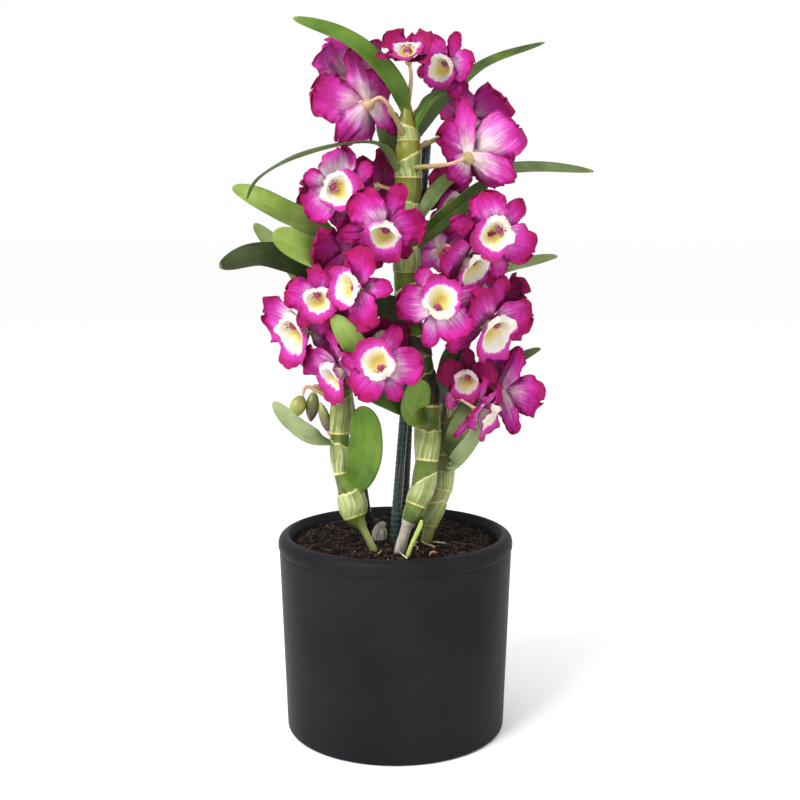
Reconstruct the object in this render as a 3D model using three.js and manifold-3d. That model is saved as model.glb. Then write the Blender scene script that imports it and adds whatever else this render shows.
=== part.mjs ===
// A noble dendrobium orchid in its pot: three leafy canes in bloom, tied up beside three stakes.
// Millimetres, +Z up, origin at the centre of the pot's underside. The plant's front is -Y.
import * as THREE from "three";
import { mergeVertices } from "three/addons/utils/BufferGeometryUtils.js";
import Module from "manifold-3d";

const wasm = await Module();
wasm.setup();

const GAP = 0.3; // air left between touching pieces
const DEGREE = Math.PI / 180;

// Pot and soil
const POT_HEIGHT = 127.5;
const RIM_RADIUS = 75;
const BASE_RADIUS = 70.2;
const FOOT_FILLET = 3;
const WALL = 7.5;
const FLOOR = 8;
const SHOULDER_HEIGHT = 117; // where the plain wall meets the rim bead
const SHOULDER_RADIUS = 74.2;
const CREST_RADIUS = 70.5; // where the rim is highest
const POT_SIDES = 36;
const SOIL_LEVEL = 121.5;
const SOIL_EDGE = 65.5;
const SOIL_TOP = [[58, 0], [44, 0.8], [24, 1.2], [0, 1]]; // [radius, height over the soil level]
const SOIL_SIDES = 20;
const STAKE_SIDES = 8;

// Canes, buds and flower stalks
const CANE_SIDES = 8;
const SHOOT_SIDES = 6;
const BUD_SIDES = 7;
const BUD_SHAPE = [[0, 0.45], [0.28, 0.95], [0.55, 1], [0.85, 0.5]]; // [place along it, share of its radius]
const TUBE_POINT = 0.4; // how far a tube's pointed end stands beyond its last ring
const STALK_RADIUS = 1.45;
const STALK_SIDES = 4;
const STALK_DEPTH = 1; // how far a stalk's end sits in its bloom
const STALK_LEAD = 0.3; // share of a stalk's reach that runs straight into the bloom

// Blooms, at size 1
const HUB_RADIUS = 3.7;
const BLADE_THICKNESS = 0.95;
const BLADE_TROUGH = 0.1; // how far a blade's edges rise, as a share of its half width
const RIPPLES = 1.6; // waves along a blade's edge
// seat: how far in front of the hub's middle a blade starts; outline: [place along it, share of its width]
const SEPAL = {
  length: 28,
  width: 13.5,
  seat: -1.4,
  tilt: 0,
  curl: -16,
  wave: 0.4,
  outline: [[0.44, 1], [0.82, 0.72]],
};
const PETAL = {
  length: 27.5,
  width: 24.5,
  seat: 0.9,
  tilt: 12,
  curl: -22,
  wave: 1.5,
  outline: [[0.26, 0.7], [0.5, 1], [0.74, 0.94], [0.92, 0.56]],
};
const TEPAL_SPREAD = 14; // degrees over which a sepal's or petal's direction varies
const TEPAL_GROWTH = 0.12; // share over which its length varies
const SPREAD_TRAIT = 70;
const GROWTH_TRAIT = 90;
const PETAL_ANGLES = [24, 156];
const SEPAL_ANGLES = [90, -36, 216];
const LIP_DROOP = 15; // the lip's axis points this far below the way the bloom faces
const LIP_SIDES = 8;
const LIP_RINGS = [[5, 5.2], [9.6, 8.6], [12.4, 13.4]]; // [distance along the axis, radius]
const LIP_WALL = 0.95;
const LIP_REACH = 3.2; // how much further the lower side of the lip reaches than its upper side
const LIP_RUFFLE = 0.9;
const LIP_SWAY = 0.8; // how far the lip's margin is out of round
const LIP_LEAN = 2.6; // how much wider the margin is on its lower side, and narrower on its upper side
const THROAT_DEPTH = 2.4; // where the throat ends, in front of the hub's middle
const COLUMN_LENGTH = 8.5;
const COLUMN_RADIUS = 1.7;
const COLUMN_SIDES = 5;
const COLUMN_RISE = 14; // degrees the column leans up from the way the bloom faces

// Leaves
const LEAF_THICKNESS = 1;
const LEAF_TROUGH = 0.22;
const LEAF_OUTLINE = [[0.03, 0.36], [0.2, 0.74], [0.45, 1], [0.72, 0.92], [0.92, 0.52]];

// Canes: a route of [x, y, z, radius] from the root end up
const canes = {
  left: [
    [-9, -29, 108, 2.6],
    [-13, -31, 122, 2.7],
    [-20, -31, 137, 2.9],
    [-24, -30, 143, 6.5],
    [-26, -29, 150, 8.4],
    [-28, -29, 160, 7.6],
    [-32, -28, 171, 5.8],
    [-33, -27, 183, 6.4],
    [-34, -26, 194, 6],
    [-33, -25, 208, 6.5],
    [-33, -22, 223, 6.4],
    [-33, -19, 238, 5.8],
    [-33, -17, 255, 6.2],
    [-33, -14, 276, 5.2],
    [-34, -12, 290, 4],
    [-34, -12, 299, 2.2],
  ],
  centre: [
    [1, -32, 108, 3.6],
    [3, -33, 124, 3.8],
    [7, -32, 138, 3.6],
    [9, -32, 143, 5.4],
    [12, -30, 150, 6.3],
    [16, -28, 160, 7],
    [18, -26, 170, 7.4],
    [19, -25, 178, 6.8],
    [20, -22, 191, 7.8],
    [20, -20, 203, 8],
    [20, -18, 214, 7.2],
    [17, -15, 230, 7.8],
    [13, -13, 248, 8],
    [9, -12, 266, 7],
    [7, -12, 284, 7.8],
    [7, -12, 302, 7.8],
    [7, -12, 318, 7],
    [7, -12, 332, 8.2],
    [8, -12, 348, 8.4],
    [8, -12, 359, 7],
    [8, -12, 367, 7.6],
    [8, -12, 375, 6.2],
    [7, -12, 383, 5],
    [7, -12, 390, 3.6],
    [7, -12, 396, 2],
  ],
  right: [
    [15, -12, 108, 3.4],
    [19, -12, 122, 3.6],
    [21, -12, 131, 4],
    [23, -10, 139, 5.4],
    [26, -9, 147, 6],
    [29, -6, 156, 6.6],
    [31, -4, 167, 6.1],
    [32, -2, 181, 6.8],
    [32, 0, 196, 6.8],
    [34, 0, 208, 6],
    [36, 0, 222, 6.8],
    [39, 0, 245, 6.8],
    [41, 0, 262, 5.8],
    [43, 0, 280, 6.4],
    [44, 0, 294, 5],
    [45, 0, 304, 3.4],
    [45, 0, 310, 1.8],
  ],
};

// The new shoot and the dry old bulb, in the canes' format
const youngShoot = [
  [6, -42, 112, 1],
  [8, -43, 124, 1.3],
  [11, -43, 132, 1.3],
  [15, -43, 141, 1.5],
  [16, -43, 145, 0.9],
];
const oldBulb = [
  [-10.5, -4, 114, 3.4],
  [-10.5, -4, 122, 5],
  [-10, -4, 127, 5.6],
  [-9, -4, 131, 4],
  [-7, -4, 134, 1.6],
];

// Buds: cane that carries it, height where its stalk leaves the cane, base, tip, radius
const buds = {
  green: ["left", 212, [-57, -25, 218], [-63, -28, 205], 5],
  dark: ["left", 216, [-50, -23, 220], [-52, -25, 202], 4.2],
  bract: ["left", 192, [-41, -26, 197], [-46, -25, 215], 3.4],
};
const magentaBud = ["right", 214, [36, -23, 222], [33, -29, 210], 4.6];

// Stakes: [foot, top, radius]
const stakes = {
  stake_green: [[-2.2, -7.7, 108], [19.5, 6, 374], 3],
  stake_rear: [[4.8, 15, 108], [13, 9, 300], 2.5],
  stake_left: [[-14.4, 17.6, 108], [-42, 0, 302], 2.5],
};

// Blooms: name, cane that carries it, height where its stalk leaves the cane, hub,
// [azimuth, elevation, roll], size, and how far its sepals and petals cup forward.
// Azimuth 0 faces the front and 90 faces +X; roll turns the upper sepal to the left as the bloom is looked at.
const blooms = [
  ["crown_left", "centre", 388, [8, -28, 418], [-12, 50, 0], 0.76, 34],
  ["crown_right", "centre", 384, [32, -8, 416], [-30, 0, -28], 0.78, 14],
  ["upper_left_back", "centre", 378, [-27, 6, 408], [-142, 18, 22], 1.12, 0],
  ["upper_left", "centre", 370, [-17, -24, 393], [-138, -8, -12], 1.18, 18],
  ["upper_right_back", "centre", 366, [46, 14, 388], [136, 30, 10], 1.12, 8],
  ["upper_right", "centre", 356, [44, -35, 362], [136, 18, -4], 1.25, 20],
  ["left_high", "centre", 324, [-33, -36, 342], [-14, 8, 68], 0.92, 0],
  ["left_behind", "centre", 322, [-44, 8, 334], [-138, 8, 0], 0.9, 0],
  ["centre_high", "centre", 300, [-6, -52, 320], [0, -24, -20], 0.94, 0],
  ["shade_left", "centre", 340, [-12, 14, 347], [-150, 10, 0], 0.9, 0],
  ["shade_right", "centre", 330, [33, 2, 336], [30, -12, -40], 0.85, 0],
  ["right_high", "right", 300, [58, -42, 317], [12, 4, -49], 0.96, 0],
  ["left_side", "left", 286, [-29, -30, 306], [-146, 22, -20], 0.95, 0],
  ["right_under", "right", 288, [41, -46, 302], [46, -28, 10], 0.92, 0],
  ["centre", "centre", 262, [26, -56, 276], [-6, 2, 157], 0.9, 0],
  ["left_low", "left", 270, [-44, -46, 279], [-10, 5, 12], 0.8, 5],
  ["centre_left", "left", 278, [-20, -60, 286], [-42, 0, -90], 0.9, 5],
  ["left_edge", "left", 250, [-54, -22, 261], [-50, -10, 8], 1.22, 4],
  ["left_under", "left", 224, [-31, -42, 236], [-52, -16, -5], 0.96, 8],
  ["centre_low", "centre", 226, [-8, -64, 242], [-6, 0, -150], 0.9, 0],
  ["right_back", "right", 262, [64, 2, 277], [100, 8, 20], 1.12, 12],
  ["right_mid", "right", 250, [54, -36, 264], [42, -18, -10], 1.12, 6],
  ["right_shade", "right", 272, [44, -14, 280], [20, 34, 20], 0.85, 5],
  ["right_low", "right", 214, [45, -33, 230], [-20, 0, 0], 0.7, 12],
  ["right_edge", "right", 216, [65, -22, 222], [140, 0, 32], 1.06, 8],
  ["right_foot", "right", 200, [50, -42, 212], [60, -24, 15], 0.85, 8],
  ["rear_high", "right", 290, [30, 36, 306], [165, 10, 0], 0.95, 0],
  ["centre_shade", "centre", 240, [-9, -27, 252], [6, 0, 30], 0.8, 0],
];

// Leaves: name, width, way the blade faces, route from inside the cane out to the tip
const leaves = [
  ["crown_left", 12, [-0.3, -0.8, 0.6], [[7, -12, 386], [2, -20, 402], [-22, -32, 426], [-59, -36, 440]]],
  ["crown_short", 10, [-0.5, -0.7, 0.5], [[9, -13, 374], [18, -14, 392], [26, -8, 400], [37, -3, 404]]],
  ["crown_right", 11, [-0.2, -0.6, 0.8], [[9, -11, 368], [25, 10, 392], [52, 22, 419], [94, 26, 436]]],
  ["crown_back", 13, [-0.5, -0.8, 0.2], [[4, -11, 358], [-1, 2, 368], [-5, 7, 378], [-9, 14, 388]]],
  [
    "arch_left", 11, [-0.3, -0.2, 1],
    [[4, -14, 350], [-10, -28, 369], [-54, -49, 361], [-79, -47, 348], [-86, -46, 336]],
  ],
  [
    "arch_right", 13, [-0.2, -0.6, 0.8],
    [[10, -14, 314], [19, -20, 333], [35, -8, 350], [76, -8, 356], [121, -10, 354]],
  ],
  ["front_right", 12, [0.5, -0.8, 0.3], [[9, -13, 306], [26, -22, 323], [40, -22, 334], [56, -18, 348]]],
  ["left_broad", 19, [-0.2, -0.7, 0.7], [[-33, -14, 296], [-46, -18, 317], [-68, -24, 330], [-97, -28, 344]]],
  ["left_front", 20, [-0.3, -0.8, 0.5], [[-33, -15, 284], [-42, -30, 300], [-55, -38, 308], [-72, -40, 317]]],
  ["left_dark", 21, [-0.2, -0.7, 0.6], [[-34, -12, 281], [-56, -16, 297], [-80, -20, 303], [-106, -26, 297]]],
  ["left_back", 13, [-0.5, -0.8, 0.2], [[-34, -13, 270], [-54, 6, 285], [-69, 10, 303], [-89, 10, 323]]],
  ["centre_left", 16, [-0.2, -0.9, 0.3], [[-34, -22, 222], [-17, -50, 238], [-23, -55, 252], [-36, -56, 270]]],
  ["low_left", 21, [-0.1, -1, 0.2], [[-27, -29, 158], [-20, -42, 176], [-17, -46, 196], [-20, -44, 215]]],
  ["low_edge", 11, [-0.5, -0.7, 0.6], [[-35, -26, 188], [-48, -36, 194], [-60, -40, 203], [-73, -42, 217]]],
  ["centre_dark", 17, [0, -0.85, 0.5], [[12, -14, 264], [3, -27, 270], [-8, -33, 273], [-21, -37, 273]]],
  ["centre_low", 14, [-0.1, -0.9, 0.4], [[20, -19, 204], [8, -38, 213], [-4, -44, 219], [-20, -46, 225]]],
  ["centre_short", 18, [0.2, -0.9, 0.3], [[20, -19, 206], [12, -40, 210], [12, -47, 220], [17, -49, 231]]],
  ["right_grey", 12, [0.4, -0.9, 0.2], [[33, 0, 208], [29, -15, 222], [31, -20, 236], [36, -22, 252]]],
  ["right_green", 14, [-0.4, -0.9, 0.2], [[32, -2, 172], [36, -20, 190], [42, -26, 205], [50, -24, 221]]],
  ["right_pale", 10, [0.3, -0.8, 0.6], [[30, -4, 166], [36, -24, 177], [45, -31, 190], [54, -32, 205]]],
  ["right_high", 12, [-0.2, -0.6, 0.8], [[43, 0, 276], [54, 16, 287], [76, 22, 296], [104, 22, 302]]],
];

// The small leaf low on the right cane, which is one solid with it: a row as in the list above
const caneLeaf = ["right", 10, [-0.2, -0.6, 0.8], [[36, 0, 221], [52, 8, 227], [72, 10, 234], [93, 12, 244]]];

// ---------------------------------------------------------------- solids and meshes

// A closed three.js geometry as a solid.
function solidOf(geometry) {
  const bare = geometry.clone();
  bare.deleteAttribute("normal");
  bare.deleteAttribute("uv");
  const merged = mergeVertices(bare, 1e-4);
  return new wasm.Manifold(
    new wasm.Mesh({
      numProp: 3,
      vertProperties: new Float32Array(merged.attributes.position.array),
      triVerts: new Uint32Array(merged.index.array),
    }),
  );
}

function geometryOf(solid) {
  const { vertProperties, triVerts } = solid.getMesh();
  const geometry = new THREE.BufferGeometry();
  geometry.setAttribute("position", new THREE.BufferAttribute(vertProperties, 3));
  geometry.setIndex(new THREE.BufferAttribute(triVerts, 1));
  geometry.computeVertexNormals();
  return geometry;
}

const joined = (solids) => solids.reduce((all, next) => all.add(next));

// The body of a solid that is left once loose scraps are dropped.
function largestBody(solid) {
  return solid.decompose().reduce((a, b) => (b.volume() > a.volume() ? b : a));
}

function material(colour, roughness) {
  return new THREE.MeshStandardMaterial({ color: colour, roughness, metalness: 0 });
}

// A repeatable number from 0 to 1 for item i and trait k.
function vary(i, k) {
  const value = Math.sin(i * 12.9898 + k * 78.233) * 43758.5453;
  return value - Math.floor(value);
}

const vector = (point) => new THREE.Vector3(...point);

const curveThrough = (points) => new THREE.CatmullRomCurve3(points.map(vector), false, "centripetal");

// ---------------------------------------------------------------- blades, tubes and cups

// A closed surface from rows of points. Each row is a ring; the first and last rows close on one point each.
function ringSolid(first, rings, last) {
  const points = [first, ...rings.flat(), last];
  const sides = rings[0].length;
  const end = points.length - 1;
  const at = (ring, side) => 1 + ring * sides + (side % sides);
  const faces = [];
  for (let side = 0; side < sides; side++) {
    faces.push(0, at(0, side + 1), at(0, side));
    faces.push(end, at(rings.length - 1, side), at(rings.length - 1, side + 1));
    for (let ring = 0; ring < rings.length - 1; ring++) {
      const [a, b] = [at(ring, side), at(ring, side + 1)];
      const [c, d] = [at(ring + 1, side), at(ring + 1, side + 1)];
      faces.push(a, b, d, a, d, c);
    }
  }
  const geometry = new THREE.BufferGeometry().setFromPoints(points);
  geometry.setIndex(faces);
  return solidOf(geometry);
}

// A thin blade. surface(t, s) gives a point of its middle sheet and the sheet's normal,
// for t along it from 0 to 1 and s across it from -1 to 1.
// Both faces meet in one sharp rim and are split into triangles alike.
function bladeSolid(surface, outline, thickness, clearance) {
  const columns = [-1, 0, 1];
  const rows = outline.map(([t]) => t);
  const points = [];
  const add = (t, s, face) => {
    const { point, normal } = surface(t, s, clearance);
    const half = (thickness / 2) * Math.sqrt(1 - s * s) + clearance;
    points.push(point.clone().addScaledVector(normal, face * half));
    return points.length - 1;
  };
  const base = add(0, 0, 0);
  const top = rows.map((t) => columns.map((s) => add(t, s, Math.abs(s) === 1 ? 0 : 1)));
  const below = (t, s, shared) => (Math.abs(s) === 1 ? shared : add(t, s, -1));
  const under = rows.map((t, i) => columns.map((s, j) => below(t, s, top[i][j])));
  const tip = add(1, 0, 0);
  const faces = [];
  const skin = (grid, turned) => {
    const triangle = (a, b, c) => faces.push(...(turned ? [a, c, b] : [a, b, c]));
    for (let j = 0; j < columns.length - 1; j++) {
      triangle(base, grid[0][j], grid[0][j + 1]);
      triangle(tip, grid.at(-1)[j + 1], grid.at(-1)[j]);
      for (let i = 0; i < rows.length - 1; i++) {
        const [a, b, c, d] = [grid[i][j], grid[i][j + 1], grid[i + 1][j], grid[i + 1][j + 1]];
        triangle(a, d, b);
        triangle(a, c, d);
      }
    }
  };
  skin(top, true);
  skin(under, false);
  const geometry = new THREE.BufferGeometry().setFromPoints(points);
  geometry.setIndex(faces);
  return solidOf(geometry);
}

// The outline's half-width share at t, from a list of [t, share].
function shareAt(outline, t) {
  const all = [[0, 0], ...outline, [1, 0]];
  const next = all.findIndex(([place]) => place >= t);
  if (next <= 0) return 0;
  const [[t0, w0], [t1, w1]] = [all[next - 1], all[next]];
  return w0 + ((w1 - w0) * (t - t0)) / (t1 - t0);
}

// A round tube through a route of [x, y, z, radius], with a ring at each of its points.
function tubeSolid(route, sides, clearance) {
  const curve = curveThrough(route.map((point) => point.slice(0, 3)));
  const last = route.length - 1;
  const rings = route.map(([x, y, z, radius], i) => {
    const along = curve.getTangent(i / last);
    const side = new THREE.Vector3(0.2, 1, 0).cross(along).normalize();
    const other = along.clone().cross(side);
    return Array.from({ length: sides }, (_, k) => {
      const angle = (2 * Math.PI * k) / sides;
      return new THREE.Vector3(x, y, z)
        .addScaledVector(side, (radius + clearance) * Math.cos(angle))
        .addScaledVector(other, (radius + clearance) * Math.sin(angle));
    });
  });
  const beyond = (t, sign) =>
    curve.getPoint(t).addScaledVector(curve.getTangent(t), sign * (TUBE_POINT + clearance));
  return ringSolid(beyond(0, -1), rings, beyond(1, 1));
}

// ---------------------------------------------------------------- blooms

function bloomFrame([azimuth, elevation, roll], hub) {
  const [az, el] = [azimuth * DEGREE, elevation * DEGREE];
  const forward = new THREE.Vector3(Math.sin(az) * Math.cos(el), -Math.cos(az) * Math.cos(el), Math.sin(el));
  const right = new THREE.Vector3(Math.cos(az), Math.sin(az), 0);
  const up = forward.clone().cross(right);
  const frame = new THREE.Matrix4().makeBasis(right, up, forward);
  frame.multiply(new THREE.Matrix4().makeRotationZ(roll * DEGREE));
  return frame.setPosition(vector(hub));
}

// The middle sheet of a sepal or petal that leaves the hub at angle and bends by curl on its way out.
function tepalSurface(tepal, angle, index, trait, cup) {
  const way = (angle + TEPAL_SPREAD * (vary(index, trait + SPREAD_TRAIT) - 0.5)) * DEGREE;
  const length = tepal.length * (1 + TEPAL_GROWTH * (vary(index, trait + GROWTH_TRAIT) - 0.5));
  const out = new THREE.Vector3(Math.cos(way), Math.sin(way), 0);
  const front = new THREE.Vector3(0, 0, 1);
  const aside = out.clone().cross(front);
  const tilt = (tepal.tilt + cup + 12 * (vary(index, trait) - 0.5)) * DEGREE;
  const curl = (tepal.curl + 24 * (vary(index, trait + 1) - 0.5)) * DEGREE;
  const phase = vary(index, trait + 2);
  return (t, s, clearance) => {
    const bent = tilt + curl * t;
    const scale = length + 3 * clearance * (t === 1);
    const reach = (scale * (Math.sin(bent) - Math.sin(tilt))) / curl;
    const rise = (-scale * (Math.cos(bent) - Math.cos(tilt))) / curl;
    const half = (tepal.width / 2) * shareAt(tepal.outline, t) + 3 * clearance;
    const ripple = tepal.wave * s * s * Math.sin(2 * Math.PI * (RIPPLES * t + phase + 0.25 * s));
    const normal = out.clone().multiplyScalar(-Math.sin(bent)).addScaledVector(front, Math.cos(bent));
    const point = out.clone().multiplyScalar(reach).addScaledVector(front, tepal.seat + rise);
    point.addScaledVector(aside, half * s).addScaledVector(normal, ripple + BLADE_TROUGH * half * s * s);
    return { point, normal };
  };
}

// The lip: a flaring, ruffled cup that is longer on its lower side.
function lipSolid(index, clearance) {
  const droop = LIP_DROOP * DEGREE;
  const axis = new THREE.Vector3(0, -Math.sin(droop), Math.cos(droop));
  const up = new THREE.Vector3(0, Math.cos(droop), Math.sin(droop));
  const phase = vary(index, 30);
  const ring = (place, radius, share) =>
    Array.from({ length: LIP_SIDES }, (_, k) => {
      const angle = (2 * Math.PI * k) / LIP_SIDES;
      const ruffle = share * LIP_RUFFLE * (k % 2 ? 1 : -1);
      const along = place - share * (LIP_REACH * Math.sin(angle) - 1.2 * ruffle);
      const sway = LIP_SWAY * Math.sin(2 * angle + 6 * phase) - LIP_LEAN * Math.sin(angle);
      const wide = radius + ruffle + share * sway;
      return axis
        .clone()
        .multiplyScalar(along)
        .add(new THREE.Vector3(1, 0, 0).multiplyScalar(wide * Math.cos(angle)))
        .addScaledVector(up, wide * Math.sin(angle));
    });
  const last = LIP_RINGS.length - 1;
  const shares = LIP_RINGS.map((_, i) => (i / last) ** 2);
  const outer = LIP_RINGS.slice(0, last).map(([place, r], i) => ring(place, r + clearance, shares[i]));
  const [rimPlace, rimRadius] = LIP_RINGS[last];
  const rim = ring(rimPlace + 1.5 * clearance, rimRadius + 2 * clearance, 1);
  const [throatPlace, throatRadius] = LIP_RINGS[last - 1];
  const inside = LIP_WALL + clearance;
  const throat = ring(throatPlace + 0.8 * LIP_WALL + clearance, throatRadius - inside, shares[last - 1]);
  return ringSolid(
    axis.clone().multiplyScalar(-1),
    [...outer, rim, throat],
    axis.clone().multiplyScalar(THROAT_DEPTH + inside),
  );
}

function columnSolid(clearance) {
  const column = new THREE.CylinderGeometry(
    COLUMN_RADIUS * 0.8 + clearance,
    COLUMN_RADIUS + clearance,
    COLUMN_LENGTH + clearance,
    COLUMN_SIDES,
  );
  column.rotateX((90 - COLUMN_RISE) * DEGREE);
  column.translate(0, 0.6, (COLUMN_LENGTH + clearance) / 2);
  return solidOf(column);
}

function hubSolid(clearance) {
  return solidOf(new THREE.SphereGeometry(HUB_RADIUS + clearance, 6, 3));
}

// A whole bloom in its own frame: three sepals behind, two petals in front of them, the lip and the column.
function bloomSolid(index, cup, clearance) {
  const tepals = [
    ...SEPAL_ANGLES.map((angle, i) => [SEPAL, angle, 3 * i]),
    ...PETAL_ANGLES.map((angle, i) => [PETAL, angle, 12 + 3 * i]),
  ];
  const blades = tepals.map(([tepal, angle, trait]) => {
    const surface = tepalSurface(tepal, angle, index, trait, cup);
    return bladeSolid(surface, tepal.outline, BLADE_THICKNESS, clearance);
  });
  return joined([hubSolid(clearance), columnSolid(clearance), lipSolid(index, clearance), ...blades]);
}

function placedBloom([, , , hub, facing, size, cup], index, clearance) {
  const frame = bloomFrame(facing, hub).scale(new THREE.Vector3(size, size, size));
  return bloomSolid(index, cup, clearance / size).transform(frame.elements);
}

// ---------------------------------------------------------------- leaves

function leafSolid([, width, facing, route], clearance) {
  const curve = curveThrough(route);
  const towards = vector(facing).normalize();
  const surface = (t, s, margin) => {
    const along = curve.getTangent(t);
    const side = along.clone().cross(towards).normalize();
    const normal = side.clone().cross(along);
    const half = (width / 2) * shareAt(LEAF_OUTLINE, t) + 3 * margin;
    const point = curve.getPoint(t).addScaledVector(side, half * s);
    point.addScaledVector(along, 3 * margin * ((t === 1) - (t === 0)));
    return { point: point.addScaledVector(normal, LEAF_TROUGH * half * s * s), normal };
  };
  return bladeSolid(surface, LEAF_OUTLINE, LEAF_THICKNESS, clearance);
}

// ---------------------------------------------------------------- canes with their flower stalks

function caneCentre(cane, height) {
  const above = cane.findIndex(([, , z]) => z >= height);
  const [low, high] = [cane[above - 1], cane[above]];
  const share = (height - low[2]) / (high[2] - low[2]);
  return vector(low.slice(0, 3)).lerp(vector(high.slice(0, 3)), share);
}

// A stalk leaves the cane's middle and ends at a point, where it comes in along a direction.
function stalkSolid(cane, height, end, direction, clearance) {
  const start = caneCentre(canes[cane], height);
  const reach = start.distanceTo(end);
  const before = end.clone().addScaledVector(direction, -STALK_LEAD * reach);
  const route = [start, before, end].map(({ x, y, z }) => [x, y, z, STALK_RADIUS]);
  return tubeSolid(route, STALK_SIDES, clearance);
}

// A bloom's stalk enters the back of its hub along the way the bloom faces.
function bloomStalk([, cane, height, hub, facing, size], clearance) {
  const forward = new THREE.Vector3().setFromMatrixColumn(bloomFrame(facing, hub), 2);
  const end = vector(hub).addScaledVector(forward, STALK_DEPTH - HUB_RADIUS * size);
  return stalkSolid(cane, height, end, forward, clearance);
}

function budStalk([cane, height, base, tip], clearance) {
  const direction = vector(tip).sub(vector(base)).normalize();
  return stalkSolid(cane, height, vector(base).addScaledVector(direction, STALK_DEPTH), direction, clearance);
}

function budSolid([, , base, tip, radius], clearance) {
  const route = BUD_SHAPE.map(([t, share]) => [...vector(base).lerp(vector(tip), t), radius * share]);
  return tubeSolid(route, BUD_SIDES, clearance);
}

function caneSolid(name, clearance) {
  const onCane = ([cane]) => cane === name;
  const stalks = blooms.filter(([, ...rest]) => onCane(rest)).map((bloom) => bloomStalk(bloom, clearance));
  const greenBuds = Object.values(buds).filter(onCane);
  return joined([
    tubeSolid(canes[name], CANE_SIDES, clearance),
    ...stalks,
    ...greenBuds.flatMap((bud) => [budStalk(bud, clearance), budSolid(bud, clearance)]),
    ...[magentaBud].filter(onCane).map((bud) => budStalk(bud, clearance)),
    ...[caneLeaf].filter(onCane).map((leaf) => leafSolid(leaf, clearance)),
  ]);
}

// ---------------------------------------------------------------- pot, soil and stakes

function potSolid() {
  const profile = new THREE.Path();
  const mouth = RIM_RADIUS - WALL;
  profile.moveTo(0, 0);
  profile.lineTo(BASE_RADIUS - FOOT_FILLET, 0);
  profile.quadraticCurveTo(BASE_RADIUS, 0, BASE_RADIUS, FOOT_FILLET);
  profile.lineTo(SHOULDER_RADIUS, SHOULDER_HEIGHT);
  profile.quadraticCurveTo(RIM_RADIUS, SHOULDER_HEIGHT + 1.5, RIM_RADIUS, SHOULDER_HEIGHT + 4);
  profile.quadraticCurveTo(RIM_RADIUS, POT_HEIGHT - 1, CREST_RADIUS, POT_HEIGHT);
  profile.quadraticCurveTo(mouth + 0.2, POT_HEIGHT, mouth - 1.5, POT_HEIGHT - 4.5);
  profile.lineTo(BASE_RADIUS - WALL, FLOOR);
  profile.lineTo(0, FLOOR);
  return solidOf(new THREE.LatheGeometry(profile.getPoints(2), POT_SIDES).rotateX(Math.PI / 2));
}

function soilSolid() {
  const wall = BASE_RADIUS - WALL - GAP;
  const profile = [
    [0, FLOOR + GAP],
    [wall - GAP, FLOOR + GAP],
    [SOIL_EDGE - GAP, SOIL_LEVEL - 1.5],
    ...SOIL_TOP.map(([r, rise]) => [r, SOIL_LEVEL + rise]),
  ];
  const points = profile.map(([r, z]) => new THREE.Vector2(r, z));
  const lathe = new THREE.LatheGeometry(points, SOIL_SIDES).rotateX(Math.PI / 2);
  const { position } = lathe.attributes;
  for (let i = 0; i < position.count; i++) {
    const [x, y, z] = [position.getX(i), position.getY(i), position.getZ(i)];
    const bump = Math.sin(x * 0.31 + 1.3) * Math.cos(y * 0.27 + x * 0.11) + 0.6 * Math.sin(x * 0.53 - y * 0.47);
    if (z > SOIL_LEVEL - 0.5) position.setZ(i, z + bump);
  }
  return solidOf(lathe);
}

function stakeSolid([foot, top, radius], clearance) {
  return tubeSolid([foot, top].map((point) => [...point, radius]), STAKE_SIDES, clearance);
}

// ---------------------------------------------------------------- assembly

const orchid = new THREE.Group();
orchid.name = "dendrobium_orchid";

function addMesh(name, solid, finish) {
  const mesh = new THREE.Mesh(geometryOf(solid), finish);
  mesh.name = name;
  orchid.add(mesh);
  return mesh;
}

// Pieces already in place, each as a slightly larger solid that later pieces are cut clear of.
const placed = [];

function clearOfPlaced(solid) {
  const box = solid.boundingBox();
  const near = placed.filter(({ min, max }) =>
    [0, 1, 2].every((k) => min[k] <= box.max[k] && max[k] >= box.min[k]),
  );
  const cut = near.reduce((rest, { larger }) => rest.subtract(larger), solid);
  return largestBody(cut);
}

function remember(larger) {
  const { min, max } = larger.boundingBox();
  placed.push({ larger, min, max });
}

const charcoal = material(0x343436, 0.55);
const peat = material(0x2a1d16, 0.95);
const darkGreen = material(0x14302e, 0.45);
const black = material(0x16181a, 0.5);
const caneGreen = material(0x6d7a3c, 0.55);
const leafGreen = material(0x6f9440, 0.5);
const straw = material(0xa9a287, 0.8);
const magenta = material(0xc41e93, 0.6);

addMesh("pot", potSolid(), charcoal);

for (const [name, stake] of Object.entries(stakes)) {
  addMesh(name, stakeSolid(stake, 0), name === "stake_green" ? darkGreen : black);
  remember(stakeSolid(stake, GAP));
}

for (const name of Object.keys(canes)) {
  addMesh("cane_" + name, clearOfPlaced(caneSolid(name, 0)), caneGreen);
  remember(caneSolid(name, GAP));
}

addMesh("young_shoot", tubeSolid(youngShoot, SHOOT_SIDES, 0), caneGreen);
remember(tubeSolid(youngShoot, SHOOT_SIDES, GAP));
addMesh("old_bulb", clearOfPlaced(tubeSolid(oldBulb, CANE_SIDES, 0)), straw);
remember(tubeSolid(oldBulb, CANE_SIDES, GAP));

const soil = placed.reduce((rest, { larger }) => rest.subtract(larger), soilSolid());
addMesh("soil", largestBody(soil), peat);

for (const leaf of leaves) {
  addMesh("leaf_" + leaf[0], clearOfPlaced(leafSolid(leaf, 0)), leafGreen);
  remember(leafSolid(leaf, GAP));
}

blooms.forEach((bloom, index) => {
  addMesh("bloom_" + bloom[0], clearOfPlaced(placedBloom(bloom, index, 0)), magenta);
  remember(placedBloom(bloom, index, GAP));
});

addMesh("flower_bud", clearOfPlaced(budSolid(magentaBud, 0)), magenta);

export default orchid;
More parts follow.
